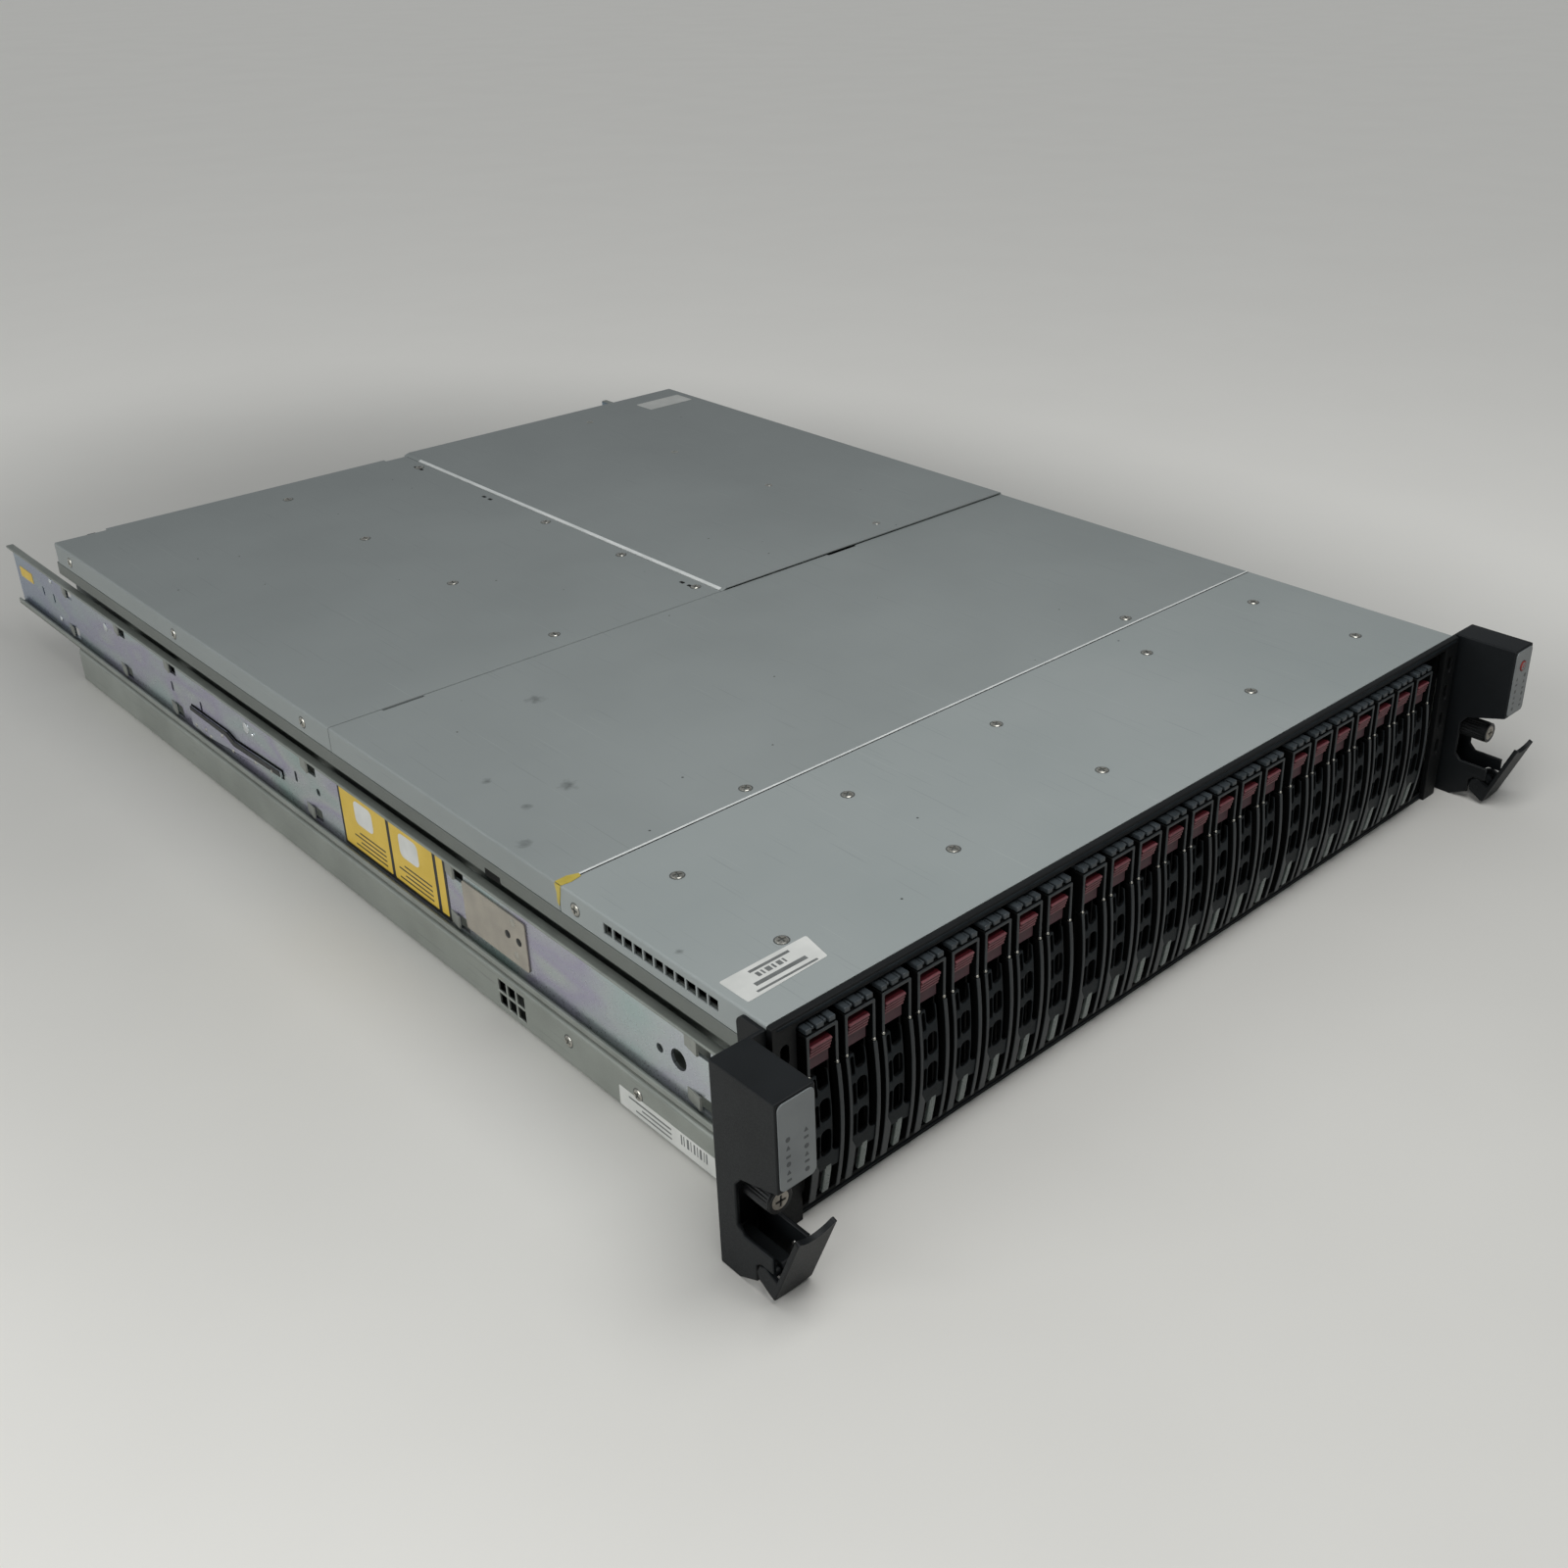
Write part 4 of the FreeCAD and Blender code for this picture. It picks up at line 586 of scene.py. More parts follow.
# %% Lids and pan
FOLD = 0.35
LOWERED = 0.2
softened("front_top_cover", "chassis", front_lit_paint, FOLD, "cover_grey")
for lid in ("middle_top_cover", "rear_top_cover_left"):
    softened(lid, "chassis", satin_paint, FOLD, "cover_grey")
lid_piece = softened("rear_top_cover_right", "chassis", satin_paint, FOLD, "cover_grey")
raised_lid = drawn_box("rear_top_cover_right")[1].z
for corner in lid_piece.data.vertices:
    if corner.co.z > (raised_lid - 0.5) * MM:
        corner.co.z -= LOWERED * MM
softened("chassis_base", "chassis", plated_steel, 0.3, "chassis_steel")

# %% [markdown]
# The ears and the rear modules are softened too. The modules hold parts of other materials: fans, coolers,
# memory, ports and mains inlets. Their zones are written for the right side and mirrored for the left. The
# walls and the cage inside the chassis stay as they are and only get a finish; the cage's black is painted
# shade in the gaps between the drives.

# %% Ears and modules
FAN_ZONE = [((6.5, 593.9, 3.05), (86.7, 619.05, 83.2), fan_plastic)]
SUPPLY_ZONES = [((174.2, 599.9, 9.5), (204.4, 620.1, 33.7), ear_plastic),
                ((180.0, 603.9, 13.5), (198.6, 613.5, 29.5), bright_steel),
                ((186.7, 619.9, 41.5), (191.9, 645.1, 77.7), ear_plastic)]
BOARD_ZONES = [((20.0, 288.8, 8.1), (41.5, 422.0, 39.3), module_black),
               ((126.2, 288.8, 8.1), (147.5, 422.0, 39.3), module_black),
               ((48.7, 309.3, 8.1), (119.0, 401.5, 48.3), cooler_metal),
               ((98.0, 601.9, 8.1), (154.2, 620.1, 21.8), port_nickel)]
SOCKET_ZONE = [((-209.0, 144.4, 26.5), (209.0, 151.01, 60.7), fan_plastic)]


def zones_for(side, zones):
    """Zones that are written for the right side, for either side."""
    if side == "right":
        return zones
    return [((-high[0], low[1], low[2]), (-low[0], high[1], high[2]), coat) for low, high, coat in zones]


softened("midplane_board", "chassis", board_green, 0.15, "board_green", SOCKET_ZONE)
for side in ("left", "right"):
    canister, supply = "canister_" + side, "power_supply_" + side
    softened("rack_ear_" + side, "chassis", ear_plastic, 0.6, "ear_black")
    softened("latch_flap_" + side, "latch_flap_" + side, ear_plastic, 0.5, "ear_black")
    softened("canister_tray_" + side, canister, plain_sheet, 0.2, "sheet_steel", zones_for(side, FAN_ZONE))
    softened("canister_board_" + side, canister, board_green, 0.15, "board_green",
             zones_for(side, BOARD_ZONES))
    softened(supply, supply, plain_sheet, 0.3, "sheet_steel", zones_for(side, SUPPLY_ZONES))
    softened("canister_lever_" + side, "canister_lever_" + side, white_paint, 0.5, "lever_white")
    softened("power_supply_latch_" + side, supply + "_latch", maroon_plastic, 0.6, "release_maroon")
    softened("fan_rotor_" + side, "fan_" + side, fan_plastic, 0.2, "fan_black")


def paint_node(node, material):
    """Give a solid that shows as it is its finish."""
    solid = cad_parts[node]
    if not solid.material_slots:
        solid.data.materials.append(material)
    for slot in solid.material_slots:
        slot.material = material


paint_node("bay_partitions", plain_sheet)
# The cage is steel; its black here is painted shade, which darkens the gaps between the drives.
paint_node("drive_cage", powder_black_and_shade)

# %% [markdown]
# The front frame is a black pressing: a head, two posts with rows of capsule slots, and a shallow sill. It
# is one plate, so its outline runs round the outside and back along the opening. One thin bead along the
# head and one on the sill draw the fine light lines over and under the drives.

# %% Front frame
frame_low, frame_high = drawn_box("front_frame")
OPENING_X, OPENING_TOP, SILL_TOP, SILL_FACE = 208.52, 83.2, 4.0, -1.0
SLOT_WIDTH, SLOT_LENGTH, SLOT_PITCH, SLOT_TOP, SLOT_COUNT = 3.6, 8.5, 15.0, 78.0, 4
post_x = (OPENING_X + frame_high.x) / 2
slots = [rounded(x - SLOT_WIDTH / 2, SLOT_TOP - i * SLOT_PITCH - SLOT_LENGTH,
                 x + SLOT_WIDTH / 2, SLOT_TOP - i * SLOT_PITCH, SLOT_WIDTH / 2 - 0.01)
         for x in (-post_x, post_x) for i in range(SLOT_COUNT)]
arch = arcs([(frame_low.x, 0, 0.8), (-OPENING_X, 0, 0.4), (-OPENING_X, OPENING_TOP, 1.2),
             (OPENING_X, OPENING_TOP, 1.2), (OPENING_X, 0, 0.4), (frame_high.x, 0, 0.8),
             (frame_high.x, lid_top, 0.8), (frame_low.x, lid_top, 0.8)])
sill = rounded(-OPENING_X, 0.1, OPENING_X, SILL_TOP, 0.4)


def bead(z, y, radius, reach):
    """A thin rolled bead that runs across the front."""
    return turned_part("x", (0, y, z), [(-reach, radius * 0.5), (-reach + radius, radius),
                                        (reach - radius, radius), (reach, radius * 0.5)], 8)


place("front_frame_pressing", joined(
    (plate("y", arch, frame_low.y, 0, slots, edge=0.45), powder_black_and_shade),
    (plate("y", sill, SILL_FACE, 0), powder_black_and_shade),
    (bead(z=85.4, y=frame_low.y + 0.3, radius=0.8, reach=frame_high.x - 2), grille_plastic),
    (bead(z=1.9, y=SILL_FACE, radius=0.5, reach=OPENING_X - 1), grille_plastic)),
    "chassis", "frame_black", "front_frame")

# %% [markdown]
# A drive carrier's front has the same parts 23 times: a clip of five knuckles, an inverted U that frames a
# maroon release tab, and a lever that bows forward. The bow is a slope with a parabola on it, so the lever
# is built flat and then every point is pushed forward by that rule.

# %% The bow of the lever
carrier_low, carrier_high = drawn_box("drive_carrier_02")
carrier_width = carrier_high.x - carrier_low.x
lever_low, lever_high = drawn_box("carrier_lever_01")
lever_foot, lever_top = lever_low.z, lever_high.z
LEVER_FOOT_FACE, LEVER_TOP_FACE, LEVER_BOW = -5.0, -6.9, 2.45
BOW_STEP = 3.0


def bow(z):
    """Where the lever's face stands at a height, as a distance behind the lid's front edge."""
    share = (z - lever_foot) / (lever_top - lever_foot)
    slope = LEVER_FOOT_FACE + share * (LEVER_TOP_FACE - LEVER_FOOT_FACE)
    return slope - 4 * LEVER_BOW * share * (1 - share)


def bent(mesh):
    """Cut a flat upright mesh into short lengths and push each point forward to follow the bow."""
    shape = bmesh.new()
    shape.from_mesh(mesh)
    bpy.data.meshes.remove(mesh)
    heights = [corner.co.z for corner in shape.verts]
    level = min(heights) + BOW_STEP
    while level < max(heights) - 0.2:
        everything = shape.verts[:] + shape.edges[:] + shape.faces[:]
        bmesh.ops.bisect_plane(shape, geom=everything, plane_co=(0, 0, level), plane_no=(0, 0, 1), dist=1e-4)
        level += BOW_STEP
    for corner in shape.verts:
        corner.co.y += bow(corner.co.z)
    return finished(shape)


# %% [markdown]
# The lever itself: a slim rib on the right, a rib on the left that flares towards its foot, and between them
# a set-back grille with two tall windows, a notch at its top and three slits. Each rib is two plates: a thin
# grey face, painted lighter as the lit side, on a bar whose black flanks are painted shade. The grille ends
# in a bridge that reaches over to the right rib, a grey light pipe runs down from it to the foot, and a heel
# at the foot of each rib reaches back to the hinge.

# %% Lever pieces
RIB, RIGHT_RIB, RIB_DEPTH, FLARE, FACE = 1.25, 1.8, 3.4, 3.3, 0.45
GRILLE_FACE, GRILLE_BACK, GRILLE_RIGHT = 0.5, 2.1, 9.4
BRIDGE_LOW, BRIDGE_HIGH = 21.0, 26.6
WINDOW_LEFT, WINDOW_RIGHT, WINDOW_ROUND, NOTCH_LOW = 4.1, 8.85, 2.0, 55.2
WINDOW_HEIGHTS = ((42.1, 51.5), (27.0, 38.5))
SLIT_LEFT, SLIT_RIGHT = 2.1, 3.7
SLIT_HEIGHTS = ((53.4, 61.0), (41.2, 50.4), (27.4, 37.4))
PIPE_LEFT, PIPE_RIGHT, PIPE_FACE, PIPE_BACK = 6.6, 9.8, 0.5, 2.2
HEEL_FRONT, HEEL_BACK, HEEL_HEIGHT = -2.4, 0.35, 2.6
LAP = 0.3
rib_left = carrier_width - RIGHT_RIB


def faced(outline, front, back, holes=(), face=lit_face_plastic):
    """A bowed bar: a thin face of its own finish, the lit side, on black flanks that are painted shade."""
    return [(bent(plate("y", outline, front, front + FACE, holes, edge=0.2)), face),
            (bent(plate("y", outline, front + FACE, back, holes, edge=0.1)), black_plastic_and_shade)]


def heel(left):
    """The foot of a rib, where it reaches back to the hinge."""
    return block((left, HEEL_FRONT, lever_foot + 0.1),
                 (left + RIB - 0.2, HEEL_BACK, lever_foot + HEEL_HEIGHT), 0.5)


def lever_parts():
    """The lever's meshes with their finishes, drawn from the carrier's left edge."""
    flare = arcs([(0, lever_foot, 0.6), (FLARE, lever_foot, 0.6), (FLARE, BRIDGE_LOW + 1.5, 1.5),
                  (RIB, BRIDGE_HIGH, 4), (RIB, lever_top, 0.5), (0, lever_top, 0.5)])
    rib = rounded(rib_left, lever_foot, carrier_width, lever_top, 0.5)
    grille = arcs([(RIB - LAP, BRIDGE_LOW, 0), (rib_left + LAP, BRIDGE_LOW - 1.5, 0),
                   (rib_left + LAP, BRIDGE_HIGH, 0), (GRILLE_RIGHT, BRIDGE_HIGH - 1.0, 3),
                   (GRILLE_RIGHT, lever_top, 0.3), (WINDOW_RIGHT, lever_top, 0.2),
                   (WINDOW_RIGHT, NOTCH_LOW, WINDOW_ROUND), (WINDOW_LEFT, NOTCH_LOW, WINDOW_ROUND),
                   (WINDOW_LEFT, lever_top, 0.2), (RIB - LAP, lever_top, 0.3)], 5)
    holes = [rounded(WINDOW_LEFT, low, WINDOW_RIGHT, high, WINDOW_ROUND) for low, high in WINDOW_HEIGHTS]
    holes += [rounded(SLIT_LEFT, low, SLIT_RIGHT, high, 0.75) for low, high in SLIT_HEIGHTS]
    pipe = rounded(PIPE_LEFT, lever_foot + 0.3, PIPE_RIGHT, BRIDGE_LOW + 0.8, 0.7)
    return [*faced(flare, 0, RIB_DEPTH), *faced(rib, 0, RIB_DEPTH),
            *faced(grille, GRILLE_FACE, GRILLE_BACK, holes, grille_plastic),
            (bent(plate("y", pipe, PIPE_FACE, PIPE_BACK, edge=0.45)), light_pipe),
            (heel(0.1), black_plastic_and_shade), (heel(rib_left + 0.1), black_plastic_and_shade)]


# %% [markdown]
# The release tab is a small moulding: a plain foot, a thumb rest that leans out towards the top with four
# paler ridges across it, and a deep recess above. Its side view is a profile pushed sideways, and the ridges
# are bars.

# %% Release tab
tab_low, tab_high = drawn_box("carrier_release_01")
TAB_LEFT, TAB_RIGHT = 1.75, 11.4
RIDGE_COUNT, RIDGE_PITCH, RIDGE, RIDGE_HEIGHT = 4, 1.45, 0.8, 0.85
TAB_FACE, TAB_LEAN, RECESS_FACE = -4.6, 1.6, -3.2
ridge_foot = tab_low.z + 5.0
ridge_top = ridge_foot + RIDGE_COUNT * RIDGE_PITCH


def tab_parts():
    """The maroon tab's meshes with their finishes."""
    foot = block((TAB_LEFT, TAB_FACE, tab_low.z), (TAB_RIGHT, tab_high.y, ridge_foot + 0.2), 0.2)
    rest = [(tab_high.y, ridge_foot), (TAB_FACE + 0.1, ridge_foot),
            (TAB_FACE - TAB_LEAN + 0.1, ridge_top), (tab_high.y, ridge_top)]
    recess = block((TAB_LEFT, RECESS_FACE, ridge_top - 0.3), (TAB_RIGHT, tab_high.y, tab_high.z), 0.2)
    parts = [(foot, maroon_plastic), (plate("x", rest, TAB_LEFT, TAB_RIGHT, edge=0.12), maroon_recess),
             (recess, maroon_recess)]
    for i in range(1, RIDGE_COUNT + 1):
        top = ridge_foot + i * RIDGE_PITCH
        lean = TAB_FACE - TAB_LEAN * i / RIDGE_COUNT
        ridge = block((TAB_LEFT + 0.2, lean - RIDGE, top - RIDGE_HEIGHT),
                      (TAB_RIGHT - 0.2, lean + 0.6, top), 0.15)
        parts.append((ridge, maroon_ridge))
    return parts


# %% [markdown]
# Behind them is the tray: the clip's knuckles, the U with a bright pin at each foot, a web with an airway,
# two runners, the block under the lever and the drive.

# %% Tray
KNUCKLES = ((0.7, 3.4, 0.0), (3.8, 5.0, 0.7), (5.4, 8.8, 0.0), (9.2, 10.5, 0.7), (10.9, 13.9, 0.0))
CLIP_LOW, CLIP_HIGH, CLIP_FACE = 79.7, carrier_high.z - 1.0, -5.9
WEB_FRONT, WEB_BACK, WEB_SIDE = 6.0, 7.6, 0.8
U_FACE, U_LOW, U_HIGH, U_SIDE, LEG = -6.5, 62.3, 79.4, 0.3, 1.25
AIRWAY_SIDE, AIRWAY_LOW, AIRWAY_HIGH = 2.8, 20.4, 62.0
BLOCK_SIDE, BLOCK_FACE, BLOCK_TOP = 1.9, 0.9, 20.0
RUNNER_END = 138.5
drive_low, drive_high = Vector((2.55, 44.0, 7.7)), Vector((12.05, 144.2, 77.55))


def tray_parts():
    """The tray's meshes with their finishes."""
    parts = []
    for left, right, set_back in KNUCKLES:
        parts.append((block((left, CLIP_FACE + set_back, CLIP_LOW + set_back / 2),
                            (right, WEB_FRONT, CLIP_HIGH - set_back / 2), 0.4, 3), clip_plastic))
    outer, inner = carrier_width - U_SIDE, U_SIDE + LEG
    u_shape = arcs([(U_SIDE, U_LOW, 0.5), (inner, U_LOW, 0.5), (inner, U_HIGH - LEG, 0.5),
                    (carrier_width - inner, U_HIGH - LEG, 0.5), (carrier_width - inner, U_LOW, 0.5),
                    (outer, U_LOW, 0.5), (outer, U_HIGH, 0.6), (U_SIDE, U_HIGH, 0.6)])
    # The U's thin front face is painted as its lit side, and the black behind it is painted shade.
    parts.append((plate("y", u_shape, U_FACE, U_FACE + FACE, edge=0.2), lit_face_plastic))
    parts.append((plate("y", u_shape, U_FACE + FACE, WEB_FRONT, edge=0.1), black_plastic_and_shade))
    for left in (U_SIDE, carrier_width - inner):
        pin = block((left, U_FACE - 0.35, U_LOW - 0.3), (left + LEG, U_FACE + 1.2, U_LOW + 1.0), 0.5, 3)
        parts.append((pin, bright_steel))
    airway = rounded(AIRWAY_SIDE, AIRWAY_LOW, carrier_width - AIRWAY_SIDE, AIRWAY_HIGH, 1.0)
    web = rounded(WEB_SIDE, carrier_low.z, carrier_width - WEB_SIDE, carrier_high.z, 0.4)
    parts.append((plate("y", web, WEB_FRONT, WEB_BACK, [airway]), black_plastic_and_shade))
    for low, high in ((carrier_low.z, drive_low.z - 0.4), (drive_high.z + 0.3, carrier_high.z)):
        runner = block((WEB_SIDE, WEB_BACK - 0.4, low), (carrier_width - WEB_SIDE, RUNNER_END, high), 0.4)
        parts.append((runner, black_plastic_and_shade))
    under = block((BLOCK_SIDE, BLOCK_FACE, carrier_low.z),
                  (carrier_width - BLOCK_SIDE, WEB_FRONT + 0.3, BLOCK_TOP), 0.4)
    return [*parts, (under, black_plastic_and_shade), (block(drive_low, drive_high, 0.7), plain_sheet)]


# %% [markdown]
# The first carrier is the one that works: its lever swings and its tab is pressed, so its parts are three
# pieces on three bodies. On the others they are one piece, since nothing there moves by itself.

# %% All carriers
def at_carrier(node, *parts):
    """One mesh of parts that are drawn from a carrier's left edge, moved to a carrier."""
    mesh = joined(*parts)
    mesh.transform(Matrix.Translation((drawn_box(node)[0].x, 0, 0)))
    return mesh


FIRST = "drive_carrier_01"
place("drive_tray_01", at_carrier(FIRST, *tray_parts()), "carrier_01", "carrier_grey", FIRST)
place("drive_lever_01", at_carrier(FIRST, *lever_parts()), "carrier_01_lever", "carrier_grey",
      "carrier_lever_01")
place("drive_release_01", at_carrier(FIRST, *tab_parts()), "carrier_01_release", "release_maroon",
      "carrier_release_01")
whole_carrier = joined(*tray_parts(), *lever_parts(), *tab_parts())
carrier_count = sum(name.startswith("drive_carrier_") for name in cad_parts)
for n in range(2, carrier_count + 1):
    node = "drive_carrier_%02d" % n
    mesh = whole_carrier.copy()
    mesh.transform(Matrix.Translation((drawn_box(node)[0].x, 0, 0)))
    place("drive_%02d" % n, mesh, "carrier_%02d" % n, "carrier_grey", node)
print("carriers:", carrier_count, "faces in one:", len(whole_carrier.polygons))

# %% [markdown]
# Each ear's control box has a printed film on its front, with small status marks in its lower half. Plain
# generic marks stand there: dots, bars and triangles in two columns. The right film also has a round power
# button in a red ring.

# %% Control films and button
film_low, film_high = drawn_box("control_overlays")
button_low, button_high = drawn_box("power_button")
button = (button_low + button_high) / 2
button_radius = (button_high.x - button_low.x) / 2
bore_radius = button_radius + 0.3
film_left = film_high.x - 15.1
MARK_COLUMNS = (3.9, 11.4)
MARK_ROWS = (3.5, 6.7, 9.8, 12.8, 16.4, 19.6)
MARK = 0.95


def status_mark(kind, x, z):
    """A small printed mark: a dot, a bar or a triangle."""
    if kind == 0:
        outline = about(x, z, MARK, MARK, MARK * 0.98)
    elif kind == 1:
        outline = about(x, z, MARK, MARK / 2, 0.2)
    else:
        outline = arcs([(x - MARK, z - MARK, 0.2), (x + MARK, z - MARK, 0.2), (x, z + MARK, 0.2)])
    return plate("y", outline, film_low.y - 0.05, film_low.y + 0.1, edge=0.02, rounds=0)


def film_parts(holes):
    """A control film with its marks, for the right ear."""
    outline = rounded(film_left, film_low.z, film_high.x, film_high.z, 2.2, 6)
    parts = [(plate("y", outline, film_low.y, film_high.y, holes, edge=0.15), panel_film)]
    for column, x in enumerate(MARK_COLUMNS):
        for row, z in enumerate(MARK_ROWS):
            parts.append((status_mark((column + row) % 3, film_left + x, film_low.z + z), panel_ink))
    return parts


def button_part(profile, material):
    """A turned part of the button: the profile is (distance behind its face, share of its radius)."""
    turned = [(button_low.y + back, button_radius * share) for back, share in profile]
    return turned_part("y", (button.x, 0, button.z), turned, 32), material


bore = about(button.x, button.z, bore_radius, bore_radius, bore_radius - 0.01, 8)
button_back = button_high.y - button_low.y
place("control_films", joined(*opposite(film_parts([])), *film_parts([bore])), "chassis", "overlay_grey",
      "control_overlays")
place("power_button_cap", joined(
    button_part([(0.35, 0.35), (0, 0.6), (0, 0.72), (0.2, 0.8), (button_back, 0.8)], panel_film),
    button_part([(0.25, 0.8), (0.05, 0.86), (0.2, 1), (button_back, 1)], ring_red)),
    "power_button", "button_grey", "power_button")

# %% [markdown]
# Screws repeat all over the sheet metal, so they are made by a node tree: a cross-recessed pan head is cut
# once with a boolean, set on every point of a small cloud, turned to face along that point's direction and
# given a random turn of the driver. The result is realised and kept as a plain mesh.

# %% Tree tools
def tree_with_inputs(name, sockets):
    """A geometry tree with named inputs, and its entry sockets and exit node."""
    tree = bpy.data.node_groups.new(name, "GeometryNodeTree")
    for label, kind in sockets:
        tree.interface.new_socket(label, in_out="INPUT", socket_type="NodeSocket" + kind)
    tree.interface.new_socket("Geometry", in_out="OUTPUT", socket_type="NodeSocketGeometry")
    return tree, add(tree, "NodeGroupInput").outputs, add(tree, "NodeGroupOutput")


def facing_of(tree):
    """The direction that each point of a cloud faces."""
    named = add(tree, "GeometryNodeInputNamedAttribute", {"Name": "facing"}, data_type="FLOAT_VECTOR")
    return named.outputs[0]


def end_tree(tree, instances, given, exit_node):
    """Realise a tree's instances, give them the finish and lead them out."""
    real = add(tree, "GeometryNodeRealizeInstances", {0: instances})
    coated = add(tree, "GeometryNodeSetMaterial", {"Geometry": real.outputs[0], "Material": given["Finish"]})
    tree.links.new(coated.outputs[0], exit_node.inputs[0])


def baked(tree, points, facings, values):
    """Run a tree on a cloud of points, each with a facing direction, and keep the result as a mesh."""
    cloud = bpy.data.meshes.new("cloud")
    cloud.from_pydata(points, [], [])
    facing = cloud.attributes.new("facing", "FLOAT_VECTOR", "POINT")
    for item, direction in zip(facing.data, facings):
        item.vector = direction
    holder = bpy.data.objects.new("cloud", cloud)
    bpy.context.collection.objects.link(holder)
    modifier = holder.modifiers.new("cloud", "NODES")
    modifier.node_group = tree
    for item in tree.interface.items_tree:
        if item.name in values:
            modifier[item.identifier] = values[item.name]
    mesh = bpy.data.meshes.new_from_object(holder.evaluated_get(bpy.context.evaluated_depsgraph_get()))
    bpy.data.objects.remove(holder)
    bpy.data.meshes.remove(cloud)
    return mesh


# %% [markdown]
# The screw tree has a switch that gives only the floor of the cross recess, so that the heads and the dark
# floors in them, which are painted shade, come from the same points with the same turns.

# %% Screw tree
screw_tree, given, exit_node = tree_with_inputs("cross_head_screws", (
    ("Geometry", "Geometry"), ("Head radius", "Float"), ("Head height", "Float"), ("Cross width", "Float"),
    ("Recess only", "Bool"), ("Finish", "Material")))
radius, height = given["Head radius"], given["Head height"]
head = add(screw_tree, "GeometryNodeMeshCone",
           {"Vertices": 20, "Radius Top": calc(screw_tree, "MULTIPLY", radius, 0.72), "Radius Bottom": radius,
            "Depth": height})
cross_length = calc(screw_tree, "MULTIPLY", radius, 1.15)
cross = add(screw_tree, "GeometryNodeJoinGeometry")
for size_x, size_y in ((cross_length, given["Cross width"]), (given["Cross width"], cross_length)):
    size = add(screw_tree, "ShaderNodeCombineXYZ", {0: size_x, 1: size_y, 2: height})
    bar = add(screw_tree, "GeometryNodeMeshCube", {"Size": size.outputs[0]})
    screw_tree.links.new(bar.outputs["Mesh"], cross.inputs[0])


def cross_at(share, scale=(1, 1, 1)):
    """The cross lifted by a share of the head's height and scaled."""
    up = add(screw_tree, "ShaderNodeCombineXYZ", {2: calc(screw_tree, "MULTIPLY", height, share)})
    inputs = {"Geometry": cross.outputs[0], "Translation": up.outputs[0], "Scale": scale}
    return add(screw_tree, "GeometryNodeTransform", inputs).outputs[0]


cut_head = add(screw_tree, "GeometryNodeMeshBoolean",
               {0: head.outputs["Mesh"], 1: cross_at(0.9), "Self Intersection": True},
               operation="DIFFERENCE", solver="EXACT")
shown = add(screw_tree, "GeometryNodeSwitch",
            {"Switch": given["Recess only"], "False": cut_head.outputs[0],
             "True": cross_at(0.45, (0.96, 0.96, 0.08))}, input_type="GEOMETRY")
aim = add(screw_tree, "FunctionNodeAlignRotationToVector", {"Vector": facing_of(screw_tree)}, axis="Z")
spots = add(screw_tree, "GeometryNodeInstanceOnPoints",
            {"Points": given["Geometry"], "Instance": shown.outputs[0], "Rotation": aim.outputs[0]})
turn = add(screw_tree, "FunctionNodeRandomValue", {2: 0.0, 3: math.tau, "Seed": 7}, data_type="FLOAT")
spin = add(screw_tree, "ShaderNodeCombineXYZ", {2: turn.outputs[1]})
spun = add(screw_tree, "GeometryNodeRotateInstances",
           {"Instances": spots.outputs[0], "Rotation": spin.outputs[0]})
end_tree(screw_tree, spun.outputs[0], given, exit_node)

# %% [markdown]
# The screws sit where the photograph shows them: in rows on the lids, along the lid flanges and on the strip
# under each rail. The right side is out of sight and takes the same places as the left. A dark grey rim round
# each head is painted shade in its countersink.

# %% Screws of the chassis
SUNK, RIM_HEIGHT = 0.5, 0.1
HEAD_RADIUS, HEAD_HEIGHT = 3.0, 0.9
UP, BACKWARD = Vector((0, 0, 1)), Vector((0, 1, 0))


def screw_parts(points, facings, material, radius, height):
    """Heads with the dark floors of their cross recesses as painted shade, and their finishes."""
    parts = []
    for recess_only, coat in ((False, material), (True, black_steel_and_shade)):
        values = {"Head radius": radius, "Head height": height, "Cross width": 0.26 * radius,
                  "Recess only": recess_only, "Finish": coat}
        parts.append((baked(screw_tree, points, facings, values), coat))
    return parts


seat = lid_top - SUNK
REAR_ROW = (310, 404.5, 498, 592)
spots = [((x, y, seat), UP) for x in (-183.4, -97.1, -8.4, 97.5, 184.8) for y in (33, 92)]
spots += [((x, 125, seat), UP) for x in (-123, 123)]
spots += [((-90.6, y, seat), UP) for y in REAR_ROW]
spots += [((128.5, y, raised_lid - 0.92), UP) for y in REAR_ROW]
spots += [((-3.2, y, seat), UP) for y in (309.5, 375, 448.5, 590)]
for outward in (-1, 1):
    facing = Vector((outward, 0, 0))
    wall = outward * (half_width - SUNK)
    spots += [((wall, y, 80.5), facing) for y in (597, 459, 321, 108)]
    spots += [((wall, y, 12.5), facing) for y in (123, 78)]
points, facings = zip(*spots)
heads = screw_parts(points, facings, bright_steel, HEAD_RADIUS, HEAD_HEIGHT)
print("lid_screws", len(points), "screws,", len(heads[0][0].polygons), "faces")
# The rims paint the shade of the countersinks.
under = [Vector(point) + facing * (SUNK - RIM_HEIGHT / 2) for point, facing in spots]
rims = baked(screw_tree, under, facings, {"Head radius": 1.18 * HEAD_RADIUS, "Head height": RIM_HEIGHT,
                                          "Cross width": 0.1, "Finish": shaded_steel})
place("lid_screws", joined(*heads, (rims, shaded_steel)), "chassis", "sheet_steel")

# %% [markdown]
# The rear panels are out of sight in the photograph and get what such panels have: four screws round each
# fan, two beside the ports, two beside each mains inlet, and a small status lamp over each port.

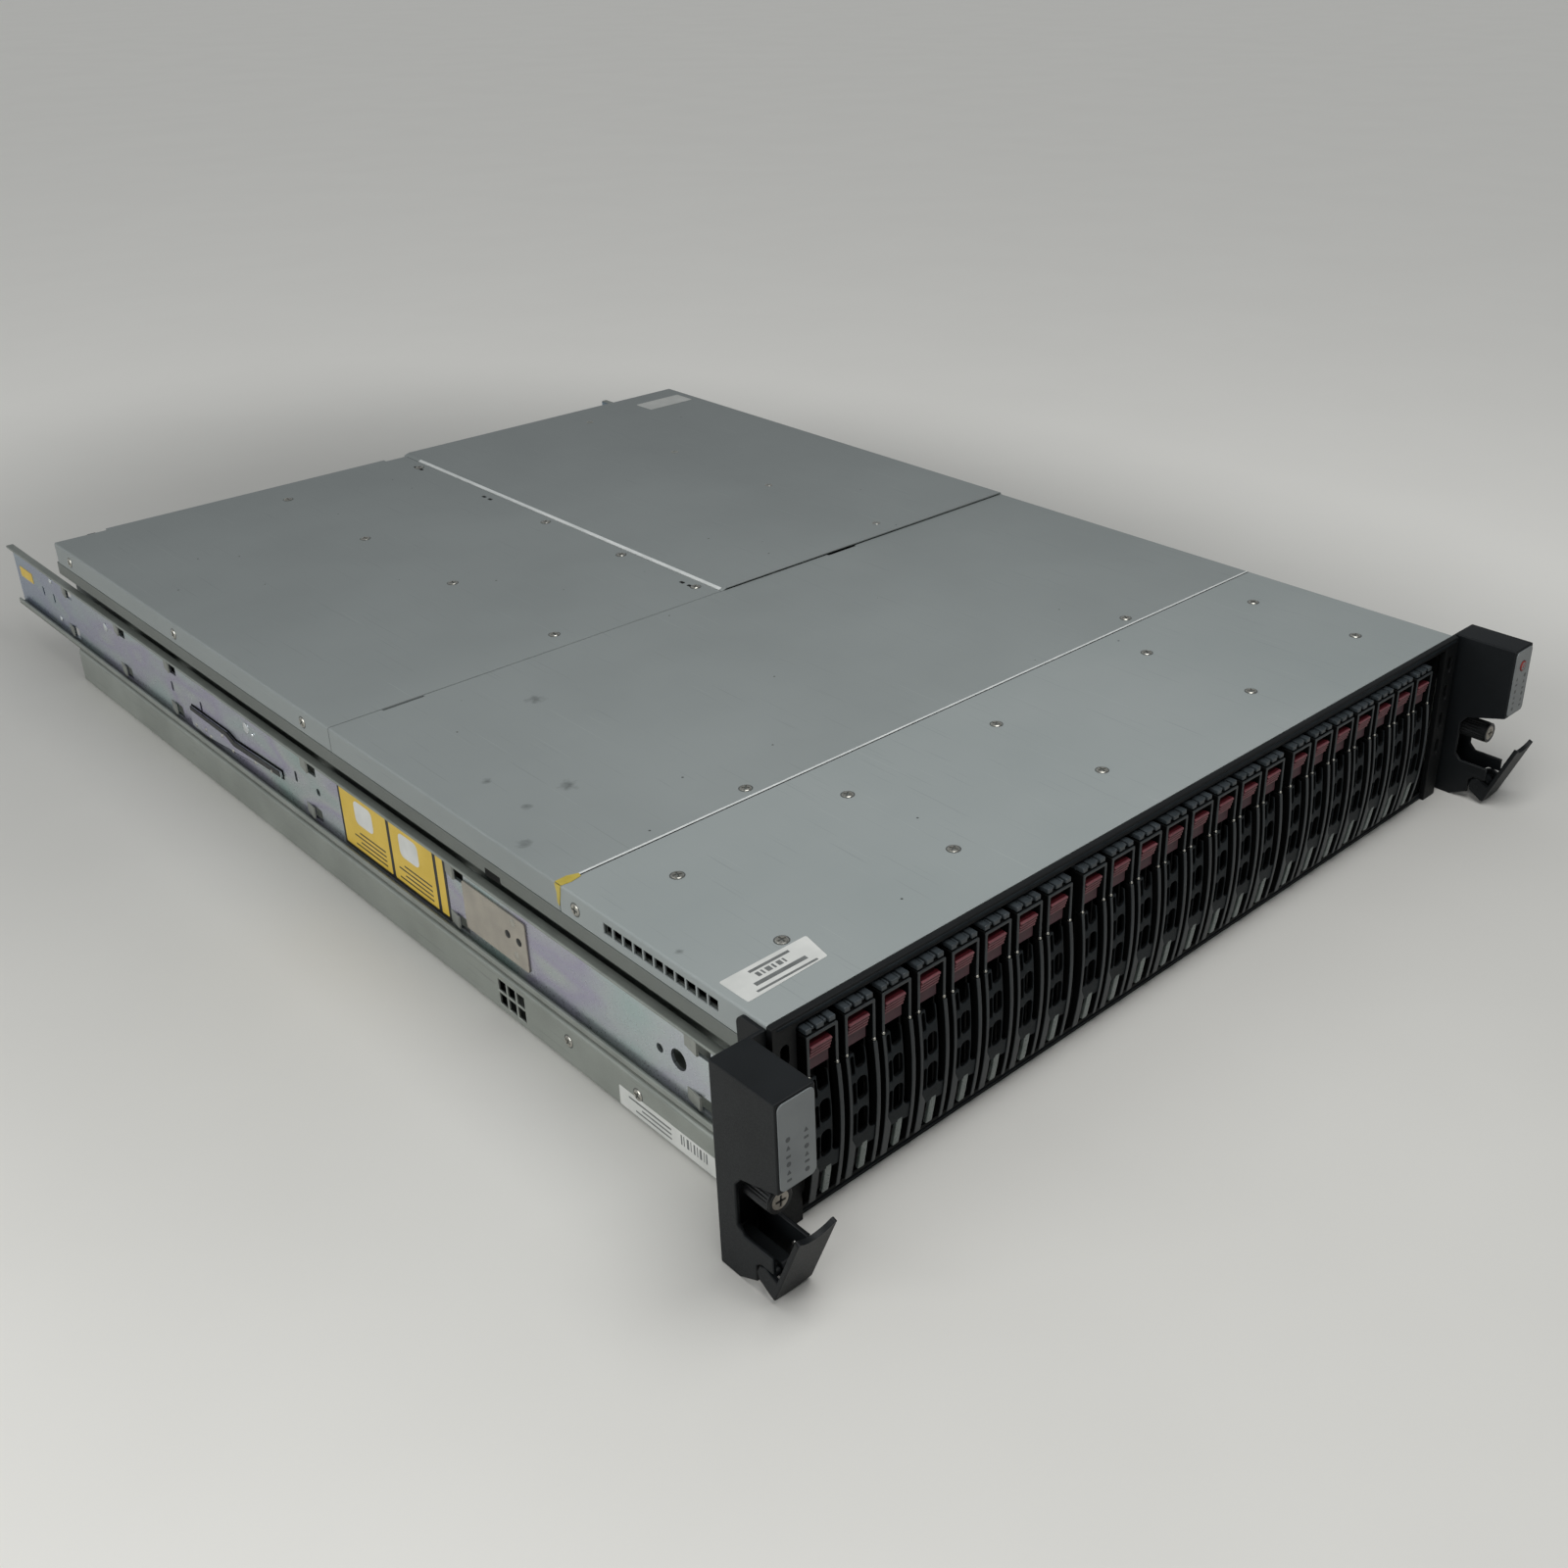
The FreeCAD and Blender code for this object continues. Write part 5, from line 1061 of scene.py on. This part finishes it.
# %% Rear panels
rear_face = drawn_box("canister_board_right")[1].y
FAN_X, FAN_Z, FAN_SCREW = 46.6, 43.1, 35.5
LAMPS_X, LAMP_Z = (106.1, 126.1, 146.1), 25.5
LAMP_PROFILE = [(-0.3, 1.1), (0.2, 1.1), (0.4, 0.6)]
PORT_SCREWS, INLET_SCREWS = [(93.6, 15.0), (158.6, 15.0)], [(171.9, 21.6), (206.7, 21.6)]
FAN_SCREWS = [(FAN_X + i * FAN_SCREW, FAN_Z + k * FAN_SCREW) for i in (-1, 1) for k in (-1, 1)]


def rear_screws(outward, seats, radius, height):
    """Screws that face backward, at places that are written for the right side."""
    points = [(outward * x, rear_face - SUNK, z) for x, z in seats]
    return screw_parts(points, [BACKWARD] * len(points), bright_steel, radius, height)


for side, outward in (("left", -1), ("right", 1)):
    lamps = [(turned_part("y", (outward * x, rear_face, LAMP_Z), LAMP_PROFILE, 16), light_pipe)
             for x in LAMPS_X]
    panel_screws = rear_screws(outward, FAN_SCREWS + PORT_SCREWS, 2.3, 0.9)
    place("canister_fittings_" + side, joined(*panel_screws, *lamps), "canister_" + side, "sheet_steel")
    place("supply_fittings_" + side, joined(*rear_screws(outward, INLET_SCREWS, 1.7, 0.8)),
          "power_supply_" + side, "sheet_steel")
print("rear fittings made")

# %% [markdown]
# The captive screws have a knurled grip. Knurls repeat round a circle, so a second tree sets a slim ridge on
# each point of a ring of points; each ridge faces outwards.

# %% Knurl tree
knurl_tree, given, exit_node = tree_with_inputs("knurled_ridges", (
    ("Geometry", "Geometry"), ("Ridge width", "Float"), ("Ridge length", "Float"), ("Finish", "Material")))
size = add(knurl_tree, "ShaderNodeCombineXYZ",
           {0: given["Ridge width"], 1: given["Ridge length"], 2: given["Ridge width"]})
ridge = add(knurl_tree, "GeometryNodeMeshCube", {"Size": size.outputs[0]})
diamond = add(knurl_tree, "GeometryNodeTransform",
              {"Geometry": ridge.outputs["Mesh"], "Rotation": (0, math.radians(45), 0)})
aim = add(knurl_tree, "FunctionNodeAxesToRotation", {0: facing_of(knurl_tree), 1: (0, 1, 0)},
          primary_axis="Z", secondary_axis="Y")
ring = add(knurl_tree, "GeometryNodeInstanceOnPoints",
           {"Points": given["Geometry"], "Instance": diamond.outputs[0], "Rotation": aim.outputs[0]})
end_tree(knurl_tree, ring.outputs[0], given, exit_node)

# %% [markdown]
# The grip is turned with a neck and a threaded end behind it, and a bright cross-recessed face in a black
# bezel closes its front.

# %% Captive screws
KNURLS, KNURL_WIDTH = 26, 0.55
GRIP_BACK, NECK, THREAD, TIP = -6.5, 2.0, 2.45, 1.9
angles = [math.tau * i / KNURLS for i in range(KNURLS)]
directions = [Vector((math.cos(angle), 0, math.sin(angle))) for angle in angles]
for side in ("left", "right"):
    grip_low, grip_high = drawn_box("thumbscrew_" + side)
    centre = (grip_low + grip_high) / 2
    radius = (grip_high.x - grip_low.x) / 2
    face, end = grip_low.y, grip_high.y
    middle = Vector((centre.x, (face + GRIP_BACK) / 2 + 0.4, centre.z))
    values = {"Ridge width": KNURL_WIDTH, "Ridge length": GRIP_BACK - face - 2.4, "Finish": black_steel_and_shade}
    knurls = baked(knurl_tree, [middle + d * (radius - 0.4) for d in directions], directions, values)
    axis_point = (centre.x, 0, centre.z)
    barrel = turned_part("y", axis_point, [
        (face + 0.7, radius * 0.9), (face + 1.0, radius * 0.97), (GRIP_BACK - 1.2, radius * 0.9),
        (GRIP_BACK - 0.4, radius * 0.98), (GRIP_BACK, radius * 0.9), (GRIP_BACK, NECK), (2.3, NECK),
        (2.5, THREAD), (end - 0.6, THREAD), (end, TIP)], 28)
    bezel = turned_part("y", axis_point, [
        (face + 0.35, radius * 0.6), (face + 0.15, radius * 0.93), (face + 0.45, radius * 0.99),
        (face + 0.8, radius * 0.93)], 28)
    driver_face = screw_parts([(centre.x, face + 0.5, centre.z)], [-BACKWARD], face_steel, radius * 0.76, 0.5)
    place("captive_screw_" + side,
          joined((barrel, black_steel_and_shade), (knurls, black_steel_and_shade), (bezel, black_steel_and_shade), *driver_face),
          "thumbscrew_" + side, "screw_black", "thumbscrew_" + side)

# %% [markdown]
# A slide rail is rolled from one strip: a flat web whose two edges turn out into rims that the outer rail has
# rubbed dull. The web is pierced with pairs of windows, and a tongue bends out of each to hook the chassis.
# The rail is drawn for the right side and mirrored for the left.

# %% Slide rails
rail_low, rail_high = drawn_box("inner_rail_right")
latch_low, latch_high = drawn_box("rail_latch_right")
web_face = rail_low.x + 1.4
RIM = 1.5
HOOKS = [(y, z) for y in (618, 542, 476, 324, 197, 37) for z in (31.5, 55.5)]
HOOK_LENGTH, HOOK_HEIGHT = 9.0, 6.4
TONGUE = ((-0.6, 11), (-0.1, 11), (1.25, 2.0), (0.5, 1.6))
RAIL_SLOTS = ((662, 44.5), (645, 44.5), (480, 44), (445, 44.2), (341.7, 44.4))
RAIL_HOLES = ((51.5, 43.5, 4.4), (62.6, 42.6, 1.9), (319.6, 44.6, 1.8))
RAIL_DIMPLES = ((565, 51, 2.6), (391, 51.8, 3.2), (384, 50.6, 1.2), (644.6, 55.6, 1.8), (640, 33.4, 1.8))


def dome(y, z, radius, height, base):
    """A low round head that stands out from a face to the right."""
    return turned_part("x", (base, y, z), [(-0.2, radius), (0.3 * height, 0.95 * radius),
                                           (0.75 * height, 0.7 * radius), (height, 0.25 * radius)], 16)


def slide_rail():
    """The right-hand rail's parts with their finishes."""
    windows = [about(y, z, HOOK_LENGTH / 2, HOOK_HEIGHT / 2, 0.8) for y, z in HOOKS]
    windows += [about(y, z, 1.2, 2.8, 1.18) for y, z in RAIL_SLOTS]
    windows += [about(y, z, r, r, r * 0.99, 6) for y, z, r in RAIL_HOLES]
    web = rounded(rail_low.y, rail_low.z + 0.3, rail_high.y, rail_high.z - 0.3, 0.4)
    parts = [(plate("x", web, rail_low.x, web_face, windows, edge=0.15), chromate_zinc)]
    for y, z in HOOKS:
        tongue = [(web_face + out, y + back) for out, back in TONGUE]
        parts.append((plate("z", tongue, z - 3.0, z + 3.0, edge=0.1), tongue_steel))
    for rim in (rounded(rail_low.x, rail_low.z, rail_high.x, rail_low.z + RIM, 0.6),
                rounded(rail_high.x - 1.2, rail_low.z, rail_high.x, rail_low.z + 3.6, 0.55),
                rounded(rail_low.x, rail_high.z - RIM, rail_high.x, rail_high.z, 0.6)):
        parts.append((plate("y", rim, rail_low.y, rail_high.y, edge=0.2), rim_zinc))
    parts += [(dome(y, z, r, 0.8, web_face), bright_dimple_zinc) for y, z, r in RAIL_DIMPLES]
    # A thin black plate just behind the lever, a little larger than it, paints its shadow as a dark outline.
    tip, back = latch_low.y - 0.6, latch_high.y + 0.8
    lever_shadow = arcs([(back, 28.0, 2), (back, 41.8, 2), (414, 42.2, 1), (406, 40.2, 1), (tip, 42.4, 0.5),
                    (tip, 37.0, 0.5), (440, 27.6, 6)])
    parts.append((plate("x", lever_shadow, web_face - 0.1, web_face + 0.06, edge=0.02, rounds=0), black_plastic_and_shade))
    return parts


# %% [markdown]
# Two things sit on each rail: a beige stop plate held by four rivets, and a sprung release lever with a black
# upper edge and a row of bright pressed studs. The lever swings on its own body.

# %% Stop plates and rail levers
stop_low, stop_high = drawn_box("rail_stop_plate_right")
RIVETS = ((155.2, 52, bright_steel), (160.2, 44.6, black_steel_and_shade), (152.2, 44.4, black_steel_and_shade),
          (155.1, 36.8, bright_steel))
STUDS = ((453, 31.5), (441, 33), (436, 31), (420.5, 37.2), (410, 32.6), (384, 36), (366, 38.2))


def stop_plate():
    """The right-hand stop plate's parts with their finishes."""
    outline = rounded(stop_low.y, stop_low.z, stop_high.y, stop_high.z, 1.2)
    rivets = [(dome(y, z, 1.9, 0.35, stop_high.x), steel) for y, z, steel in RIVETS]
    return [(plate("x", outline, stop_low.x, stop_high.x, edge=0.25), beige_paint), *rivets]


def rail_lever():
    """The right-hand release lever's parts with their finishes."""
    tip, back = latch_low.y, latch_high.y
    blade = arcs([(back, 29.2, 2), (back, 41, 2), (414, 41.4, 1), (406, 39.2, 1), (tip, 41.5, 0.5),
                  (tip, 38.2, 0.5), (440, 29.2, 6)])
    edge = arcs([(back - 1, 38.8, 0.3), (416, 38.6, 0.3), (408, 36.0, 0.3), (tip + 1, 38.5, 0.3),
                 (tip + 1, 41.4, 0.3), (406, 39.2, 0.3), (414, 41.4, 0.3), (back - 1, 41.0, 0.3)])
    studs = [(dome(y, z, 1.1, 0.5, latch_high.x - 0.3), bright_steel) for y, z in STUDS]
    return [(plate("x", blade, latch_low.x, latch_high.x - 0.2, edge=0.25), chromate_zinc),
            (plate("x", edge, latch_low.x + 0.2, latch_high.x, edge=0.1), black_steel_and_shade), *studs]


for side, hand in (("right", list), ("left", opposite)):
    latch = "rail_latch_" + side
    place("slide_rail_" + side, joined(*hand(slide_rail())), "chassis", "rail_zinc", "inner_rail_" + side)
    place("stop_plate_" + side, joined(*hand(stop_plate())), "chassis", "stop_beige",
          "rail_stop_plate_" + side)
    place("rail_lever_" + side, joined(*hand(rail_lever())), latch, "rail_zinc", latch)
print("rail parts:", len(bpy.data.meshes), "meshes in the file")

# %% [markdown]
# Where the front lid meets the next, a pale bar on the edge is a painted highlight and a thin black bar in
# front of it painted shade; a pale plate on the slope on which the raised lid stands is a painted highlight
# too. Short slots beside that slope, and one under the left flange, are dark sheets of painted shade.

# %% Seams
seam = drawn_box("front_top_cover")[1].y
rear_low, rear_high = drawn_box("rear_top_cover_right")
outer = -half_width
SEAM_DEPTH = 2
SLOT_STARTS = [y + shift for y in (316, 509, 589) for shift in (-5, 1.5)]


def sheet(axis, outline, low, high, material):
    """A thin flat piece with crisp edges, with its finish."""
    return plate(axis, outline, low, high, edge=0.02, rounds=0), material


def seam_bar(front, back, rise, edge, material):
    """A bar along the seam between the front lid and the next, with its finish."""
    low = (outer + 6, seam + front, lid_top - SEAM_DEPTH)
    high = (half_width - 1, seam + back, lid_top + rise)
    return block(low, high, edge), material


# Painted highlight on the seam's edge and on the raised lid's slope, and painted shade in front of the seam.
slope = [(2.9, lid_top - 0.6), (4.7, lid_top + 0.2), (4.7, lid_top + 0.7), (2.9, lid_top + 0.12)]
parts = [seam_bar(0.1, 1.2, 0.16, 0.12, highlight_steel), seam_bar(-0.5, 0.12, 0.03, 0.05, black_plastic_and_shade)]
parts.append((plate("y", slope, rear_low.y + 2, rear_high.y - 18, edge=0.05, rounds=0), highlight_steel))
# Dark sheets paint the shade in the slots by the slope and under the left flange.
for start in SLOT_STARTS:
    slot_shade = rounded(-5.4, start, -3.4, start + 3.4, 0.5)
    parts.append(sheet("z", slot_shade, lid_top - 0.5, lid_top + 0.03, black_plastic_and_shade))
parts.append(sheet("x", rounded(160.5, 67.2, 171.5, 70.6, 0.3), outer - 0.03, outer + 0.5, black_plastic_and_shade))
place("lid_seams", joined(*parts), "chassis", "sheet_steel")

# %% [markdown]
# Labels are thin plates on the sheet. They carry no words here: the paper ones have a few plain grey bars
# where print would be.

# %% Paper labels
LABEL, INK, INK_SUNK = 0.15, 0.03, 0.05
LID_CODE = ((-203, 1.6), (-200.6, 0.8), (-198.8, 2.2), (-195.8, 0.9), (-193.8, 2.0), (-191.0, 0.8))
LID_BARS = [(-204, 25.6, -186, 27.0), (-207, 18.4, -184, 20.4), (-209, 15.4, -182, 16.5)]
SIDE_CODE = ((37, 0.8), (38.6, 0.5), (40.2, 1.2), (42.4, 0.6), (44.0, 0.9), (46.2, 0.5), (47.6, 1.3),
             (50.2, 0.6), (51.6, 0.8))
SIDE_BARS = [(58, 8.0, 84, 8.9), (58, 5.8, 76, 6.6), (58, 3.6, 80, 4.4)]


def upright_bars(code, low, high):
    """The boxes of a row of upright bars: the code is (start, width) of each."""
    return [(start, low, start + width, high) for start, width in code]


def bars(axis, boxes, low, high, material):
    """Printed bars: each box is (u0, v0, u1, v1)."""
    return [sheet(axis, rounded(*box, 0.08, 1), low, high, material) for box in boxes]


lid_label = arcs([(-214.8, 13.6, 0.8), (-178.4, 14.8, 0.8), (-175.6, 29.1, 0.8), (-214.8, 29.0, 0.8)])
lid_print, side_print = lid_top + LABEL, outer - LABEL
parts = [sheet("z", lid_label, lid_top, lid_print, white_label)]
printed = LID_BARS + upright_bars(LID_CODE, 22.0, 24.6)
parts += bars("z", printed, lid_print - INK_SUNK, lid_print + INK, grey_ink)
rear_label = rounded(176, 586, 212, 603, 0.6)
parts.append(sheet("z", rear_label, raised_lid - LOWERED - 0.1, raised_lid - 0.05, white_label))
parts.append(sheet("x", rounded(31, 1.8, 90, 11, 0.6), side_print, outer, white_label))
printed = SIDE_BARS + upright_bars(SIDE_CODE, 5.2, 9.8)
parts += bars("x", printed, side_print - INK, side_print + INK_SUNK, grey_ink)
place("paper_labels", joined(*parts), "chassis", "lever_white")

# %% [markdown]
# The large yellow label on the left rail is three fields in a dark border, two of them with a blank white
# patch over four plain bars. A small plain one sits near the rail's rear end, and a scrap of yellow tape
# hangs over the left end of the front seam.

# %% Yellow labels and tape
TAPE, BORDER = 0.25, 1.8
FIELD_FOOT, FIELD_HEAD = 27.6, 59.6
FIELDS = ((206.5, 215.6), (214.6, 254.2), (253.2, 298.0))
rail_out = -web_face
label_face = rail_out - LABEL
print_face = label_face - 0.07
tape_top = arcs([(-209.2, 116.8, 0.3), (-208.6, 118.8, 0.3), (-213, 120.6, 1), (-218.3, 120.4, 0.3),
                 (-218.3, 116.4, 0.3), (-214, 115.9, 1)])
tape_tail = arcs([(120.4, 86.9, 0.3), (116.4, 86.9, 0.3), (117.0, 83, 1), (118.3, 77.2, 0.2),
                  (119.4, 79, 0.5), (119.3, 83, 1)])
parts = [sheet("z", tape_top, lid_top, lid_top + TAPE, yellow_tape),
         sheet("x", tape_tail, outer - TAPE, outer, yellow_tape)]
border = rounded(FIELDS[0][0], FIELD_FOOT, FIELDS[-1][1], FIELD_HEAD, 0.8)
parts.append(sheet("x", border, label_face, rail_out, black_ink))
for start, end in FIELDS:
    field = rounded(start + BORDER, FIELD_FOOT + BORDER, end - BORDER, FIELD_HEAD - BORDER, 0.6)
    parts.append(sheet("x", field, label_face - 0.04, rail_out, yellow_vinyl))
for start in (220.0, 259.0):
    parts.append(sheet("x", rounded(start + 9, 43.5, start + 25, 55.5, 3), print_face, rail_out, white_label))
    lines = [(start, 31.4 + 2.4 * row, start + 28 - 5 * (row % 2), 32.2 + 2.4 * row) for row in range(4)]
    parts += bars("x", lines, print_face, rail_out, black_ink)
parts.append(sheet("x", rounded(678, 44, 698, 50.5, 0.6), label_face, rail_out, yellow_vinyl))
place("yellow_labels", joined(*parts), "chassis", "stop_beige")

# %% [markdown]
# The studio is a wide pale floor of smooth concrete, matt, with faint cloudy patches. Far from the object the
# floor runs up to a pale wall, which is drawn as a little glow that only the camera and reflections see. The
# glow grows with the distance from the object, counted in half-widths and half-lengths of its box.

# %% Floor
FLOOR = 30.0
WALL_NEAR, WALL_FAR, WALL_GLOW = 1.15, 2.5, 0.27
floor_mesh = bpy.data.meshes.new("floor")
floor_mesh.from_pydata([(-FLOOR, -FLOOR, 0), (FLOOR, -FLOOR, 0), (FLOOR, FLOOR, 0), (-FLOOR, FLOOR, 0)], [],
                       [(0, 1, 2, 3)])
concrete = finish("pale_smooth_concrete", "#d4d3ce", "#d7d6d1", 140, 2.0, 0.85, bump=0.03)
tree = concrete.node_tree
spread = (1 / cad_box[1].x, 1 / cad_box[1].y, 1)
point = add(tree, "ShaderNodeMapping", {"Vector": here(tree), "Scale": spread})
away = add(tree, "ShaderNodeVectorMath", {0: point.outputs[0]}, operation="LENGTH").outputs["Value"]
wall = ranged(tree, away, WALL_NEAR, WALL_FAR, high=WALL_GLOW, interpolation_type="SMOOTHSTEP")
ray = add(tree, "ShaderNodeLightPath").outputs
seen = calc(tree, "MAXIMUM", ray["Is Camera Ray"], ray["Is Glossy Ray"])
seen = calc(tree, "MAXIMUM", seen, ray["Is Transmission Ray"])
shader = tree.nodes["Principled BSDF"]
tree.links.new(calc(tree, "MULTIPLY", wall, seen), shader.inputs["Emission Strength"])
shader.inputs["Emission Color"].default_value = linear("#fbfaf5")
floor_mesh.materials.append(concrete)
floor = bpy.data.objects.new("floor", floor_mesh)
bpy.context.collection.objects.link(floor)
floor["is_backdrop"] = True

# %% [markdown]
# One soft lamp hangs over the front and a larger one stands to the left of the camera. The surround is pale
# at the horizon and dimmer overhead and behind the camera. They are balanced so that a grey on the front lid
# renders about as it is written, and the light falls off towards the rear.

# %% Light
SKY_LOW, SKY_HIGH, SKY_TURN = 0.85, 0.32, 0.45
ROOM_SHADE, ROOM_FROM, ROOM_TO = 0.4, -0.5, 0.4
scene = bpy.context.scene
scene.view_settings.view_transform = "Standard"
world = bpy.data.worlds.new("studio_surround")
world.use_nodes = True
tree = world.node_tree
surround = tree.nodes["Background"].inputs
surround["Color"].default_value = linear("#dfe3e6")
sky = add(tree, "ShaderNodeSeparateXYZ", {0: add(tree, "ShaderNodeTexCoord").outputs["Generated"]}).outputs
overhead = ranged(tree, sky[2], 0.0, SKY_TURN, SKY_LOW, SKY_HIGH)
room = ranged(tree, sky[1], ROOM_FROM, ROOM_TO, ROOM_SHADE, 1.0)
tree.links.new(calc(tree, "MULTIPLY", overhead, room), surround["Strength"])
scene.world = world


def lamp(name, place_at, aim_at, size, watts):
    """A large soft area lamp."""
    data = bpy.data.lights.new(name, "AREA")
    data.shape = "RECTANGLE"
    data.size, data.size_y = size
    data.energy = watts
    obj = bpy.data.objects.new(name, data)
    obj.location = place_at
    obj.rotation_euler = (Vector(aim_at) - Vector(place_at)).to_track_quat("-Z", "Y").to_euler()
    bpy.context.collection.objects.link(obj)


lamp("front_softbox", (-0.1, -0.45, 0.72), (-0.06, -0.26, 0.08), (0.55, 0.45), 3.4)
lamp("left_softbox", (-1.9, -0.1, 0.8), (0, 0, 0.04), (1.6, 0.9), 18)

# %% [markdown]
# The camera stands where the photograph was taken from. Its place, its turn and its lens were solved from
# sizes that are known for such a unit.

# %% Camera
camera_data = bpy.data.cameras.new("photo_camera")
camera_data.lens = 37.960
camera_data.sensor_width = 36.0
camera_data.shift_x = -0.059947
camera_data.shift_y = -0.047150
camera = bpy.data.objects.new("photo_camera", camera_data)
camera.location = (-0.489348, -0.646507, 0.415312)
camera.rotation_euler = [math.radians(angle) for angle in (63.437, 0.4538, -43.9339)]
bpy.context.collection.objects.link(camera)
scene.camera = camera

# %% [markdown]
# Last, the size of the dressed model is set beside the size of the solids, and the frame is closed.

# %% Sizes and finish
visual_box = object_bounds()
for label, box in (("solids:", cad_box), ("dressed:", visual_box)):
    print(label, [[round(v, 4) for v in corner] for corner in box])
